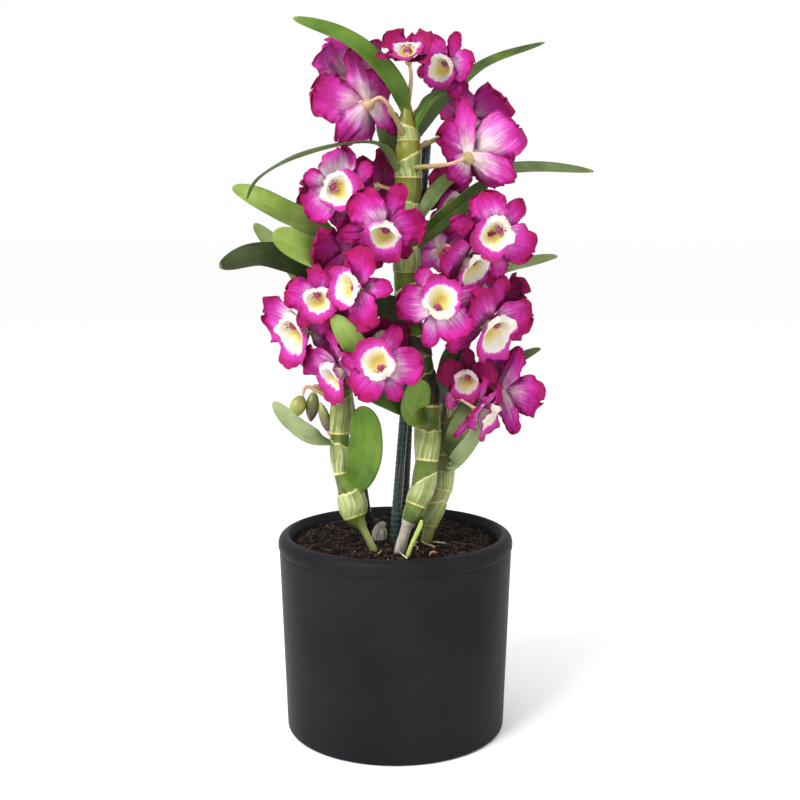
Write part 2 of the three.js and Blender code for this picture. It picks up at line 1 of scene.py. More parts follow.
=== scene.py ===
"""The looks of a noble dendrobium orchid in its pot.

Shapes are worked out in millimetres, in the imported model's frame, and become metres as each mesh is made.
Every piece of the plant leans on the same tables as the solid that it replaces. Only a few sizes that the
solids need thicker, such as those of petals, leaves and stalks, are finer here.
"""

import math

import bpy
import numpy as np
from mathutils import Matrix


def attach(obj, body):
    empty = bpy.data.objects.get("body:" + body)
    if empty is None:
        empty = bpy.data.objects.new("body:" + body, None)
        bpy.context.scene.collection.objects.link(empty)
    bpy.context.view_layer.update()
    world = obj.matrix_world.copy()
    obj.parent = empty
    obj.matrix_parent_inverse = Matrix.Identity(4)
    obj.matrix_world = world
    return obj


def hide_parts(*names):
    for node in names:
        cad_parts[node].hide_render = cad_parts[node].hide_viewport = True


MM = 0.001
TURN = 2 * math.pi

# Camera
CAMERA_PLACE = (2.9, -749, 317)
CAMERA_PITCH = 7.95  # degrees below the horizon
CAMERA_LENS = 53.78

# Pot and soil
POT_HEIGHT = 127.5
RIM_RADIUS = 75
BASE_RADIUS = 70.2
FOOT_FILLET = 3
WALL = 7.5
FLOOR = 8
SHOULDER_HEIGHT = 117
SHOULDER_RADIUS = 74.2
SHOULDER_EASE = 1.2  # height over which the wall turns into the groove
CREST_RADIUS = 69.6
GROOVE_DEPTH = 0.3  # of the fine groove under the rim
POT_SIDES = 160
SOIL_LEVEL = 121.5
SOIL_EDGE = 65.2
SOIL_TOP = [(0, 1), (24, 1.2), (44, 0.8), (58, 0), (SOIL_EDGE, -1.2)]  # radius, height over the soil level
SOIL_SIDES = 420
SOIL_RINGS = 88

# Blooms, at size 1
HUB_RADIUS = 3.7
SEPAL = {
    "length": 28, "width": 13.5, "seat": -1.4, "tilt": 0, "curl": -16,
    "wave": 0.4, "ruffle": 0.6, "pleat": 0.85, "veins": 8,
    "outline": [(0, 0.34), (0.2, 0.66), (0.44, 1), (0.7, 0.92)],
}
PETAL = {
    "length": 27.5, "width": 24.5, "seat": 0.9, "tilt": 12, "curl": -22,
    "wave": 1.5, "ruffle": 1.15, "pleat": 1.5, "veins": 13,
    "outline": [(0, 0.2), (0.12, 0.36), (0.26, 0.7), (0.5, 1), (0.7, 0.98)],
}
TEPAL_SPREAD = 14  # degrees over which a sepal's or petal's direction varies
TEPAL_GROWTH = 0.12  # share over which its length varies
TILT_SPREAD = 12
CURL_SPREAD = 24
SPREAD_TRAIT = 70
GROWTH_TRAIT = 90
PETAL_ANGLES = [24, 156]
SEPAL_ANGLES = [90, -36, 216]
TEPAL_ROWS = 34
TEPAL_COLUMNS = 19
EDGE_CROWDING = 0.86  # how much closer together a tepal's columns are at its edges, from 0 to 1
BLADE_THICKNESS = 0.75
BLADE_TROUGH = 0.1  # how far a blade's edges rise, as a share of its half width
RIPPLES = 1.6  # waves along a blade's edge
NOTCH = 0.035  # how far the margin swings in and out, as a share of the half width
CRINKLE = 0.3
RIB_DEPTH = 0.35
LIP_SIDES = 64
LIP_DROOP = 15  # the lip's axis points this many degrees below the way the bloom faces
LIP_REACH = 3.2  # how much further the lower side of the lip reaches than its upper side
LIP_RUFFLE = 0.9
LIP_SWAY = 0.8  # how far the lip's margin is out of round
LIP_LEAN = 2.6  # how much wider the margin is on its lower side, and narrower on its upper side
LIP_CREST = 9  # radius of the lumpy crest where the lip's pale middle ends
CREST_HEIGHT = 0.75
CREST_WIDTH = 1.1
# The lip's profile from its back to its margin and in again to the throat: distance along its axis, radius,
# share of the ruffle and of the reach, and 1 inside
LIP_PROFILE = [
    (0.5, 2.4, 0, 0), (2.5, 3.9, 0, 0), (5, 5.2, 0, 0), (7.4, 6.8, 0.1, 0), (9.6, 8.6, 0.25, 0),
    (11.1, 10.6, 0.5, 0), (12, 12.2, 0.8, 0), (12.4, 13.4, 1, 0.5), (12.5, 12.4, 0.85, 1),
    (12.1, 11.3, 0.65, 1), (11.6, 10.2, 0.5, 1), (11, 9.2, 0.35, 1), (10.3, 8.2, 0.25, 1),
    (9.4, 7.3, 0.17, 1), (8.2, 6.4, 0.1, 1), (6.8, 5.4, 0.03, 1), (5.2, 4.2, 0, 1), (3.9, 2.4, 0, 1),
]
COLUMN_LENGTH = 8.5
COLUMN_CAP = 0.6  # how far the cap reaches past the column
COLUMN_RISE = 14  # degrees the column leans up from the way the bloom faces

# Leaves, stalks and canes
LEAF_ROWS = 46
LEAF_COLUMNS = 15
LEAF_THICKNESS = 0.9
LEAF_TROUGH = 0.22
LEAF_OUTLINE = [(0, 0.28), (0.06, 0.42), (0.2, 0.74), (0.45, 1), (0.72, 0.92)]
STALK_RADIUS = 1.35
STALK_DEPTH = 1
STALK_LEAD = 0.3
CANE_SIDES = 40
CANE_STEP = 0.9

# Canes, from the foot up: x, y, height and radius
CANES = {
    "left": [
        (-9, -29, 108, 2.6), (-13, -31, 122, 2.7), (-20, -31, 137, 2.9), (-24, -30, 143, 6.5),
        (-26, -29, 150, 8.4), (-28, -29, 160, 7.6), (-32, -28, 171, 5.8), (-33, -27, 183, 6.4),
        (-34, -26, 194, 6), (-33, -25, 208, 6.5), (-33, -22, 223, 6.4), (-33, -19, 238, 5.8),
        (-33, -17, 255, 6.2), (-33, -14, 276, 5.2), (-34, -12, 290, 4), (-34, -12, 299, 2.2),
    ],
    "centre": [
        (1, -32, 108, 3.6), (3, -33, 124, 3.8), (7, -32, 138, 3.6), (9, -32, 143, 5.4),
        (12, -30, 150, 6.3), (16, -28, 160, 7), (18, -26, 170, 7.4), (19, -25, 178, 6.8),
        (20, -22, 191, 7.8), (20, -20, 203, 8), (20, -18, 214, 7.2), (17, -15, 230, 7.8),
        (13, -13, 248, 8), (9, -12, 266, 7), (7, -12, 284, 7.8), (7, -12, 302, 7.8),
        (7, -12, 318, 7), (7, -12, 332, 8.2), (8, -12, 348, 8.4), (8, -12, 359, 7),
        (8, -12, 367, 7.6), (8, -12, 375, 6.2), (7, -12, 383, 5), (7, -12, 390, 3.6),
        (7, -12, 396, 2),
    ],
    "right": [
        (15, -12, 108, 3.4), (19, -12, 122, 3.6), (21, -12, 131, 4), (23, -10, 139, 5.4),
        (26, -9, 147, 6), (29, -6, 156, 6.6), (31, -4, 167, 6.1), (32, -2, 181, 6.8),
        (32, 0, 196, 6.8), (34, 0, 208, 6), (36, 0, 222, 6.8), (39, 0, 245, 6.8),
        (41, 0, 262, 5.8), (43, 0, 280, 6.4), (44, 0, 294, 5), (45, 0, 304, 3.4),
        (45, 0, 310, 1.8),
    ],
}

# Sheaths round each cane, from the lowest up: lower edge, height of the torn upper edge on its high side,
# how much lower that edge is on the other side, and the high side's direction in degrees, 0 for +X
SHEATHS = {
    "left": [
        (144, 163, 3, -60), (171, 193, 6, 190), (195, 221, 9, -20), (225, 246, 9, 200), (251, 272, 9, -30),
    ],
    "centre": [
        (151, 173, 13, 10), (178, 201, 5, -130), (210, 232, 8, 20), (240, 262, 9, -150), (267, 289, 8, 0),
        (293, 315, 9, -60), (320, 344, 9, 215), (350, 368, 9, -10), (372, 386, 7, 200),
    ],
    "right": [
        (133, 150, 4, 20), (155, 172, 5, -40), (177, 203, 6, 0), (209, 230, 8, -150), (236, 256, 8, -30),
        (263, 285, 8, 20),
    ],
}
DRY_FOOT = {"left": (118, 152), "centre": (112, 142), "right": (112, 126)}  # where a dry foot turns green

# Buds: cane, height where the stalk leaves it, the bud's two ends and its radius
BUDS = {
    "bud_green": ("left", 212, (-57, -25, 218), (-63, -28, 205), 5),
    "bud_dark": ("left", 216, (-50, -23, 220), (-52, -25, 202), 4.2),
    "bud_bract": ("left", 192, (-41, -26, 197), (-46, -25, 215), 3.4),
    "flower_bud_fine": ("right", 214, (36, -23, 222), (33, -29, 210), 4.6),
}
BUD_COLOURS = {
    "bud_green": ("#7b7740", "#94984c", "#7f8c40"),
    "bud_dark": ("#6a7238", "#4e4c28", "#4a3034"),
    "bud_bract": ("#5a3a48", "#6b6a38", "#97a05a"),
}

# The young shoot and the dry old bulb, from the foot up: x, y, height and radius
YOUNG_SHOOT = [(6, -42, 112, 1), (8, -43, 124, 1.3), (11, -43, 132, 1.3), (15, -43, 141, 1.5),
               (16, -43, 145, 0.9)]
SHOOT_NODES = [(132, 0.14), (124, 0.12)]  # height of a node's ring and how far it stands out
OLD_BULB = [(-10.5, -4, 114, 3.4), (-10.5, -4, 122, 5), (-10, -4, 127, 5.6), (-9, -4, 131, 4),
            (-7, -4, 134, 1.6)]
BULB_SHARE = 0.82  # of the solid's thickness

# Root ends on the peat: route and radius
ROOTS_TAN = [
    ([(21, -38, 121), (22, -38, 123.5), (25, -38, 123.5), (27, -37, 121)], 0.8),
    ([(-14, -33, 122), (-17, -37, 123), (-21, -39, 123), (-24, -39, 121)], 0.7),
    ([(-9, -31, 123), (-9, -36, 123.5), (-12, -40, 122), (-15, -42, 121)], 0.6),
]
ROOTS_PALE = [
    ([(3, -35, 124), (3, -40, 124), (6, -46, 123), (9, -50, 121)], 0.5),
    ([(17, -14, 124), (20, -20, 124), (24, -22, 123), (28, -27, 121)], 0.5),
    ([(19, -12, 124), (25, -15, 124), (31, -14, 123), (36, -17, 121)], 0.45),
    ([(14, -14, 124), (12, -20, 123.5), (14, -25, 123), (12, -29, 121)], 0.45),
]

# Stakes: foot, top and radius
STAKES = {
    "stake_green": ((-2.2, -7.7, 108), (19.5, 6, 374), 3),
    "stake_rear": ((4.8, 15, 108), (13, 9, 300), 2.5),
    "stake_left": ((-14.4, 17.6, 108), (-42, 0, 302), 2.5),
}
STAKE_STEP = 0.9
RIDGE_PITCH = 3.6  # of the ridges across a stake
RIDGE_SHARE = 0.035  # how far a ridge stands out, as a share of the radius

# Blooms: name, cane, height where the stalk leaves it, hub, (azimuth, elevation, roll), size, cup,
# and how deep its magenta is, from 0 for pale to 1 for dark, the dark end partly painted shade on blooms in
# shadow.
BLOOMS = [
    ("crown_left", "centre", 388, (8, -28, 418), (-12, 50, 0), 0.76, 34, 0.8),
    ("crown_right", "centre", 384, (32, -8, 416), (-30, 0, -28), 0.78, 14, 0.45),
    ("upper_left_back", "centre", 378, (-27, 6, 408), (-142, 18, 22), 1.12, 0, 0),
    ("upper_left", "centre", 370, (-17, -24, 393), (-138, -8, -12), 1.18, 18, 0.15),
    ("upper_right_back", "centre", 366, (46, 14, 388), (136, 30, 10), 1.12, 8, 0.5),
    ("upper_right", "centre", 356, (44, -35, 362), (136, 18, -4), 1.25, 20, 0.1),
    ("left_high", "centre", 324, (-33, -36, 342), (-14, 8, 68), 0.92, 0, 0),
    ("left_behind", "centre", 322, (-44, 8, 334), (-138, 8, 0), 0.9, 0, 0.8),
    ("centre_high", "centre", 300, (-6, -52, 320), (0, -24, -20), 0.94, 0, 0.5),
    ("shade_left", "centre", 340, (-12, 14, 347), (-150, 10, 0), 0.9, 0, 0.9),
    ("shade_right", "centre", 330, (33, 2, 336), (30, -12, -40), 0.85, 0, 0.8),
    ("right_high", "right", 300, (58, -42, 317), (12, 4, -49), 0.96, 0, 0.2),
    ("left_side", "left", 286, (-29, -30, 306), (-146, 22, -20), 0.95, 0, 0.6),
    ("right_under", "right", 288, (41, -46, 302), (46, -28, 10), 0.92, 0, 0.2),
    ("centre", "centre", 262, (26, -56, 276), (-6, 2, 157), 0.9, 0, 0.1),
    ("left_low", "left", 270, (-44, -46, 279), (-10, 5, 12), 0.8, 5, 0.6),
    ("centre_left", "left", 278, (-20, -60, 286), (-42, 0, -90), 0.9, 5, 0.6),
    ("left_edge", "left", 250, (-54, -22, 261), (-50, -10, 8), 1.22, 4, 0.2),
    ("left_under", "left", 224, (-31, -42, 236), (-52, -16, -5), 0.96, 8, 0.2),
    ("centre_low", "centre", 226, (-8, -64, 242), (-6, 0, -150), 0.9, 0, 0.3),
    ("right_back", "right", 262, (64, 2, 277), (100, 8, 20), 1.12, 12, 0.8),
    ("right_mid", "right", 250, (54, -36, 264), (42, -18, -10), 1.12, 6, 0.3),
    ("right_shade", "right", 272, (44, -14, 280), (20, 34, 20), 0.85, 5, 1),
    ("right_low", "right", 214, (45, -33, 230), (-20, 0, 0), 0.7, 12, 1),
    ("right_edge", "right", 216, (65, -22, 222), (140, 0, 32), 1.06, 8, 0.15),
    ("right_foot", "right", 200, (50, -42, 212), (60, -24, 15), 0.85, 8, 0.3),
    ("rear_high", "right", 290, (30, 36, 306), (165, 10, 0), 0.95, 0, 0.4),
    ("centre_shade", "centre", 240, (-9, -27, 252), (6, 0, 30), 0.8, 0, 1),
]

# Leaves: name, width, way the blade faces, route from inside the cane to the tip, and the leaf's green
LEAVES = [
    ("crown_left", 12, (-0.3, -0.8, 0.6),
     [(7, -12, 386), (2, -20, 402), (-22, -32, 426), (-59, -36, 440)], "bright"),
    ("crown_short", 10, (-0.5, -0.7, 0.5),
     [(9, -13, 374), (18, -14, 392), (26, -8, 400), (37, -3, 404)], "bright"),
    ("crown_right", 11, (-0.2, -0.6, 0.8),
     [(9, -11, 368), (25, 10, 392), (52, 22, 419), (94, 26, 436)], "deep"),
    ("crown_back", 13, (-0.5, -0.8, 0.2),
     [(4, -11, 358), (-1, 2, 368), (-5, 7, 378), (-9, 14, 388)], "deep"),
    ("arch_left", 11, (-0.3, -0.2, 1),
     [(4, -14, 350), (-10, -28, 369), (-54, -49, 361), (-79, -47, 348), (-86, -46, 336)], "deep"),
    ("arch_right", 13, (-0.2, -0.6, 0.8),
     [(10, -14, 314), (19, -20, 333), (35, -8, 350), (76, -8, 356), (121, -10, 354)], "olive"),
    ("front_right", 12, (0.5, -0.8, 0.3),
     [(9, -13, 306), (26, -22, 323), (40, -22, 334), (56, -18, 348)], "deep"),
    ("left_broad", 19, (-0.2, -0.7, 0.7),
     [(-33, -14, 296), (-46, -18, 317), (-68, -24, 330), (-97, -28, 344)], "fresh"),
    ("left_front", 20, (-0.3, -0.8, 0.5),
     [(-33, -15, 284), (-42, -30, 300), (-55, -38, 308), (-72, -40, 317)], "fresh"),
    ("left_dark", 21, (-0.2, -0.7, 0.6),
     [(-34, -12, 281), (-56, -16, 297), (-80, -20, 303), (-106, -26, 297)], "dark"),
    ("left_back", 13, (-0.5, -0.8, 0.2),
     [(-34, -13, 270), (-54, 6, 285), (-69, 10, 303), (-89, 10, 323)], "soft"),
    ("centre_left", 16, (-0.2, -0.9, 0.3),
     [(-34, -22, 222), (-17, -50, 238), (-23, -55, 252), (-36, -56, 270)], "fresh"),
    ("low_left", 21, (-0.1, -1, 0.2),
     [(-27, -29, 158), (-20, -42, 176), (-17, -46, 196), (-20, -44, 215)], "bright"),
    ("low_edge", 11, (-0.5, -0.7, 0.6),
     [(-35, -26, 188), (-48, -36, 194), (-60, -40, 203), (-73, -42, 217)], "grey"),
    ("centre_dark", 17, (0, -0.85, 0.5),
     [(12, -14, 264), (3, -27, 270), (-8, -33, 273), (-21, -37, 273)], "dark"),
    ("centre_low", 14, (-0.1, -0.9, 0.4),
     [(20, -19, 204), (8, -38, 213), (-4, -44, 219), (-20, -46, 225)], "bright"),
    ("centre_short", 18, (0.2, -0.9, 0.3),
     [(20, -19, 206), (12, -40, 210), (12, -47, 220), (17, -49, 231)], "mid"),
    ("right_grey", 12, (0.4, -0.9, 0.2),
     [(33, 0, 208), (29, -15, 222), (31, -20, 236), (36, -22, 252)], "olive"),
    ("right_green", 14, (-0.4, -0.9, 0.2),
     [(32, -2, 172), (36, -20, 190), (42, -26, 205), (50, -24, 221)], "soft"),
    ("right_pale", 10, (0.3, -0.8, 0.6),
     [(30, -4, 166), (36, -24, 177), (45, -31, 190), (54, -32, 205)], "grey"),
    ("right_high", 12, (-0.2, -0.6, 0.8),
     [(43, 0, 276), (54, 16, 287), (76, 22, 296), (104, 22, 302)], "soft"),
]

# The small leaf low on the right cane, which is one solid with it, in the same form
CANE_LEAF = (
    "right_tip", 10, (-0.2, -0.6, 0.8),
    [(36, 0, 221), (52, 8, 227), (72, 10, 234), (93, 12, 244)], "olive",
)

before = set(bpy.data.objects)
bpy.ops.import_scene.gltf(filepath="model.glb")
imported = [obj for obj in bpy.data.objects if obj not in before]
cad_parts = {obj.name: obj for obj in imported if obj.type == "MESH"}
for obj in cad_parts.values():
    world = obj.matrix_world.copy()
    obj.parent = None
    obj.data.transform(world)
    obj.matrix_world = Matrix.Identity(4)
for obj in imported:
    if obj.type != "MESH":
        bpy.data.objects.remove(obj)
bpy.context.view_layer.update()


# ---- numbers


def vary(i, k):
    """A repeatable number from 0 to 1 for item i and trait k."""
    value = math.sin(i * 12.9898 + k * 78.233) * 43758.5453
    return value - math.floor(value)


def smooth(value, low, high):
    """0 below low, 1 above high and an S curve between."""
    x = np.clip((value - low) / (high - low), 0, 1)
    return x * x * (3 - 2 * x)


LATTICE_SIZE = 32
LATTICE = np.random.default_rng(7).random((LATTICE_SIZE, LATTICE_SIZE, LATTICE_SIZE))


def value_noise(points, scale):
    """Smooth noise from -1 to 1 at an array of points, with cells of the given size."""
    cell = np.asarray(points, float) / scale
    low = np.floor(cell).astype(int)
    share = cell - low
    share = share * share * (3 - 2 * share)
    total = np.zeros(cell.shape[:-1])
    for corner in np.ndindex(2, 2, 2):
        at = tuple((low[..., k] + corner[k]) % LATTICE_SIZE for k in range(3))
        weight = np.ones(cell.shape[:-1])
        for k in range(3):
            weight = weight * (share[..., k] if corner[k] else 1 - share[..., k])
        total += weight * LATTICE[at]
    return 2 * total - 1


def unit(vector):
    vector = np.asarray(vector, float)
    return vector / np.linalg.norm(vector, axis=-1, keepdims=True)


def curve_point(points, t):
    """A point of the centripetal Catmull-Rom curve through points, t from 0 to 1."""
    points = np.asarray(points, float)
    last = len(points) - 1
    place = min(max(t, 0), 1) * last
    i = min(int(place), last - 1)
    p1, p2 = points[i], points[i + 1]
    p0 = points[i - 1] if i else 2 * points[0] - points[1]
    p3 = points[i + 2] if i + 2 <= last else 2 * points[last] - points[last - 1]
    d0, d1, d2 = (max(np.linalg.norm(b - a) ** 0.5, 1e-4) for a, b in ((p0, p1), (p1, p2), (p2, p3)))
    t1 = ((p1 - p0) / d0 - (p2 - p0) / (d0 + d1) + (p2 - p1) / d1) * d1
    t2 = ((p2 - p1) / d1 - (p3 - p1) / (d1 + d2) + (p3 - p2) / d2) * d1
    w = place - i
    return (
        p1
        + t1 * w
        + (-3 * p1 + 3 * p2 - 2 * t1 - t2) * w * w
        + (2 * p1 - 2 * p2 + t1 + t2) * w**3
    )


def curve(points, places):
    """The curve's points at many places."""
    return np.array([curve_point(points, t) for t in places])


def curve_direction(points, t):
    step = 1e-4
    return unit(curve_point(points, min(t + step, 1)) - curve_point(points, max(t - step, 0)))


def outline_share(outline, t):
    """Half-width share at t: smooth through the outline's points, then a round cap to the tip."""
    places, shares = np.array(outline).T
    slopes = np.gradient(shares, places)
    i = np.clip(np.searchsorted(places, t) - 1, 0, len(places) - 2)
    span = places[i + 1] - places[i]
    w = np.clip((t - places[i]) / span, 0, 1)
    body = (
        shares[i] * (2 * w**3 - 3 * w**2 + 1)
        + slopes[i] * span * (w**3 - 2 * w**2 + w)
        + shares[i + 1] * (3 * w**2 - 2 * w**3)
        + slopes[i + 1] * span * (w**3 - w**2)
    )
    cap_from = places[-1]
    cap = shares[-1] * np.sqrt(np.clip(1 - ((t - cap_from) / (1 - cap_from)) ** 2, 0, 1))
    return np.where(t > cap_from, cap, body)


def midrib(t, s, width, fade_from):
    """The groove along a blade's middle, from its base until it fades towards the tip."""
    return -RIB_DEPTH * np.exp(-((s / width) ** 2)) * smooth(t, 0.02, 0.2) * (1 - smooth(t, fade_from, 1))


def half_thickness(thickness, t, s):
    """Thin at a blade's edges and towards its tip."""
    return thickness / 2 * np.sqrt(np.clip(1 - s**2, 0, 1)) * (1 - 0.5 * t)


# ---- meshes


def turns(sides):
    """Directions round a ring."""
    return np.arange(sides) * TURN / sides


def spine_frame(centres, up):
    """Unit vectors along a row of points, and to two sides of it."""
    along = unit(np.gradient(centres, axis=0))
    side = unit(np.cross(np.asarray(up, float), along))
    return along, side, np.cross(along, side)


def ring_points(centres, side, other, wide, angle):
    """Points round centres, at angles that turn from the direction side to other."""
    sideways = (wide * np.cos(angle))[..., None]
    return centres + side * sideways + other * (wide * np.sin(angle))[..., None]


class Build:
    """Collects the surfaces of one piece. Each point's place and tone are marks that the materials read."""

    def __init__(self, tone=(0, 0, 0)):
        self.points = []
        self.faces = []
        self.places = []
        self.tones = []
        self.material_of = []
        self.tone = tone
        self.count = 0

    def add(self, points, faces, place, material=0):
        self.points.append(points)
        self.places.append(place)
        self.tones.append(np.broadcast_to(self.tone, points.shape))
        self.faces.extend([[index + self.count for index in face] for face in faces])
        self.material_of.extend([material] * len(faces))
        self.count += len(points)

    def blade(self, middle, normal, half, along, across):
        """A closed thin blade from a grid of its middle sheet: both faces share the grid's border."""
        rows, columns = along.shape
        top = np.arange(rows * columns).reshape(rows, columns)
        inner = top[1:-1, 1:-1]
        under = top.copy()
        under[1:-1, 1:-1] = rows * columns + np.arange(inner.size).reshape(inner.shape)
        half = half.copy()
        half[0] = half[-1] = half[:, 0] = half[:, -1] = 0
        faces, points, places = [], [], []
        for grid, face, kept in ((top, 1, slice(None)), (under, -1, slice(1, -1))):
            a, b, c, d = grid[:-1, :-1], grid[:-1, 1:], grid[1:, 1:], grid[1:, :-1]
            quads = np.stack([a, d, c, b] if face > 0 else [a, b, c, d], -1)
            faces.extend(quads.reshape(-1, 4).tolist())
            sheet = middle + face * normal * half[..., None]
            marks = np.stack([along, across, np.full(along.shape, face)], -1)
            points.append(sheet[kept, kept].reshape(-1, 3))
            places.append(marks[kept, kept].reshape(-1, 3))
        self.add(np.concatenate(points), faces, np.concatenate(places))

    def rings(self, rings, first, last, places=None, end_places=((0, 0, 0), (0, 0, 0)), material=0):
        """A closed surface through rings, which ends on the points first and last."""
        if places is None:
            places = np.zeros(rings.shape)
        count, sides = rings.shape[:2]
        start, end = count * sides, count * sides + 1
        grid = np.arange(count * sides).reshape(count, sides)
        turned = np.roll(grid, -1, axis=1)
        quads = np.stack([grid[:-1], turned[:-1], turned[1:], grid[1:]], -1)
        faces = quads.reshape(-1, 4).tolist()
        faces.extend([start, b, a] for a, b in zip(grid[0].tolist(), turned[0].tolist()))
        faces.extend([end, a, b] for a, b in zip(grid[-1].tolist(), turned[-1].tolist()))
        points = np.concatenate([rings.reshape(-1, 3), [first], [last]])
        self.add(points, faces, np.concatenate([places.reshape(-1, 3), end_places]), material)

    def tube(self, centres, radii, sides, material=0, shape=None, up=(0.2, 1, 0)):
        """A tube through centres. shape(t, angle) gives a share of the radius."""
        along, side, other = spine_frame(centres, up)
        angle = turns(sides)[None, :]
        t = np.linspace(0, 1, len(centres))[:, None]
        wide = np.repeat(radii[:, None], sides, 1)
        if shape:
            wide = wide * shape(t, angle)
        rings = ring_points(centres[:, None], side[:, None], other[:, None], wide, angle)
        places = np.stack(np.broadcast_arrays(t, angle / TURN, 0 * wide), -1)
        first = centres[0] - along[0] * radii[0] * 0.3
        last = centres[-1] + along[-1] * radii[-1] * 0.3
        self.rings(rings, first, last, places, ((0, 0.5, 0), (1, 0.5, 0)), material)

    def finish(self, name, materials, slot, replaces=()):
        """The piece's mesh object, riding on the plant's one body."""
        mesh = bpy.data.meshes.new(name)
        mesh.from_pydata((np.concatenate(self.points) * MM).tolist(), [], self.faces)
        for mark, values in (("place", self.places), ("tone", self.tones)):
            layer = mesh.attributes.new(mark, "FLOAT_VECTOR", "POINT")
            layer.data.foreach_set("vector", np.concatenate(values).astype(np.float32).ravel())
        for material in materials:
            mesh.materials.append(material)
        mesh.polygons.foreach_set("material_index", self.material_of)
        mesh.shade_smooth()
        mesh.update()
        piece = show(name, mesh)
        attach(piece, "root")
        if replaces:
            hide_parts(*replaces)


def show(name, data, place=(0, 0, 0)):
    """An object in the scene, its place given in millimetres."""
    thing = bpy.data.objects.new(name, data)
    thing.location = [value * MM for value in place]
    bpy.context.scene.collection.objects.link(thing)
    return thing


# ---- materials


def tint(code):
    """The linear colour of a #rrggbb code."""
    parts = [int(code[i : i + 2], 16) / 255 for i in (1, 3, 5)]
    linear = [part / 12.92 if part <= 0.04045 else ((part + 0.055) / 1.055) ** 2.4 for part in parts]
    return (*linear, 1)


class Wire:
    """A node's output. Reckoning with it makes Math nodes and gives the last one's output."""

    def __init__(self, shader, socket):
        self.shader = shader
        self.socket = socket

    def math(self, operation, a, b=0):
        return self.shader.node("Math", {0: a, 1: b}, operation=operation)

    def __add__(self, other):
        return self.math("ADD", self, other)

    def __sub__(self, other):
        return self.math("SUBTRACT", self, other)

    def __rsub__(self, other):
        return self.math("SUBTRACT", other, self)

    def __mul__(self, other):
        return self.math("MULTIPLY", self, other)

    def __pow__(self, other):
        return self.math("POWER", self, other)

    def __abs__(self):
        return self.math("ABSOLUTE", self)

    def sine(self):
        return self.math("SINE", self)


class Shader:
    """A procedural material around one Principled shader."""

    def __init__(self, name, **sockets):
        self.material = bpy.data.materials.new(name)
        self.material.use_nodes = True
        self.tree = self.material.node_tree
        self.surface = self.tree.nodes["Principled BSDF"]
        for socket, value in sockets.items():
            self.surface.inputs[socket.replace("_", " ")].default_value = value

    def node(self, kind, inputs, output=0, **settings):
        """One output of a new node, whose inputs are fed with wires or plain values."""
        made = self.tree.nodes.new("ShaderNode" + kind)
        for setting, value in settings.items():
            setattr(made, setting, value)
        for socket, value in inputs.items():
            self.feed(made.inputs[socket], value)
        return Wire(self, made.outputs[output])

    def feed(self, socket, value):
        if isinstance(value, Wire):
            self.tree.links.new(value.socket, socket)
        else:
            socket.default_value = value

    def parts(self, name):
        """The three numbers of a mesh attribute."""
        split = self.tree.nodes.new("ShaderNodeSeparateXYZ")
        self.feed(split.inputs[0], self.node("Attribute", {}, 1, attribute_name=name))
        return [Wire(self, output) for output in split.outputs]

    def combine(self, x, y, z):
        return self.node("CombineXYZ", {0: x, 1: y, 2: z})

    def object_place(self):
        return self.node("TexCoord", {}, 3)

    def noise(self, scale, detail, rough=0.5, at=None):
        """Noise at the object's own place, or at another one."""
        inputs = {"Vector": at or self.object_place(), "Scale": scale, "Detail": detail, "Roughness": rough}
        return self.node("TexNoise", inputs)

    def band(self, value, low, high):
        """0 on the low side, 1 on the high side and an S curve between."""
        return self.node("MapRange", {0: value, 1: low, 2: high}, interpolation_type="SMOOTHSTEP")

    def mix(self, factor, a, b):
        a, b = (tint(colour) if isinstance(colour, str) else colour for colour in (a, b))
        return self.node("Mix", {0: factor, 6: a, 7: b}, 2, data_type="RGBA")

    def coat(self, colour, *layers):
        """The colour under others, each laid on as its value goes from low to high, times its shares."""
        for other, value, low, high, *shares in layers:
            amount = self.band(value, low, high)
            for share in shares:
                amount = amount * share
            colour = self.mix(amount, colour, other)
        return colour

    def ramp(self, factor, *stops):
        made = self.tree.nodes.new("ShaderNodeValToRGB")
        ramp = made.color_ramp
        while len(ramp.elements) < len(stops):
            ramp.elements.new(0.5)
        for element, (place, code) in zip(ramp.elements, stops):
            element.position = place
            element.color = tint(code)
        self.feed(made.inputs[0], factor)
        return Wire(self, made.outputs[0])

    def nook_shade(self):
        """Painted shade: from 0 in the open to 1 where other parts of the plant stand close over the place,
        to darken colour there.
        """
        return self.band(self.node("AmbientOcclusion", {"Distance": 0.036}, 1, samples=6), 0.75, 0.15)

    def bump(self, height, strength, distance):
        return self.node("Bump", {"Strength": strength, "Distance": distance, "Height": height})

    def finish(self, colour, normal=None, roughness=None):
        for socket, value in (("Base Color", colour), ("Normal", normal), ("Roughness", roughness)):
            if value is not None:
                self.feed(self.surface.inputs[socket], value)
        return self.material


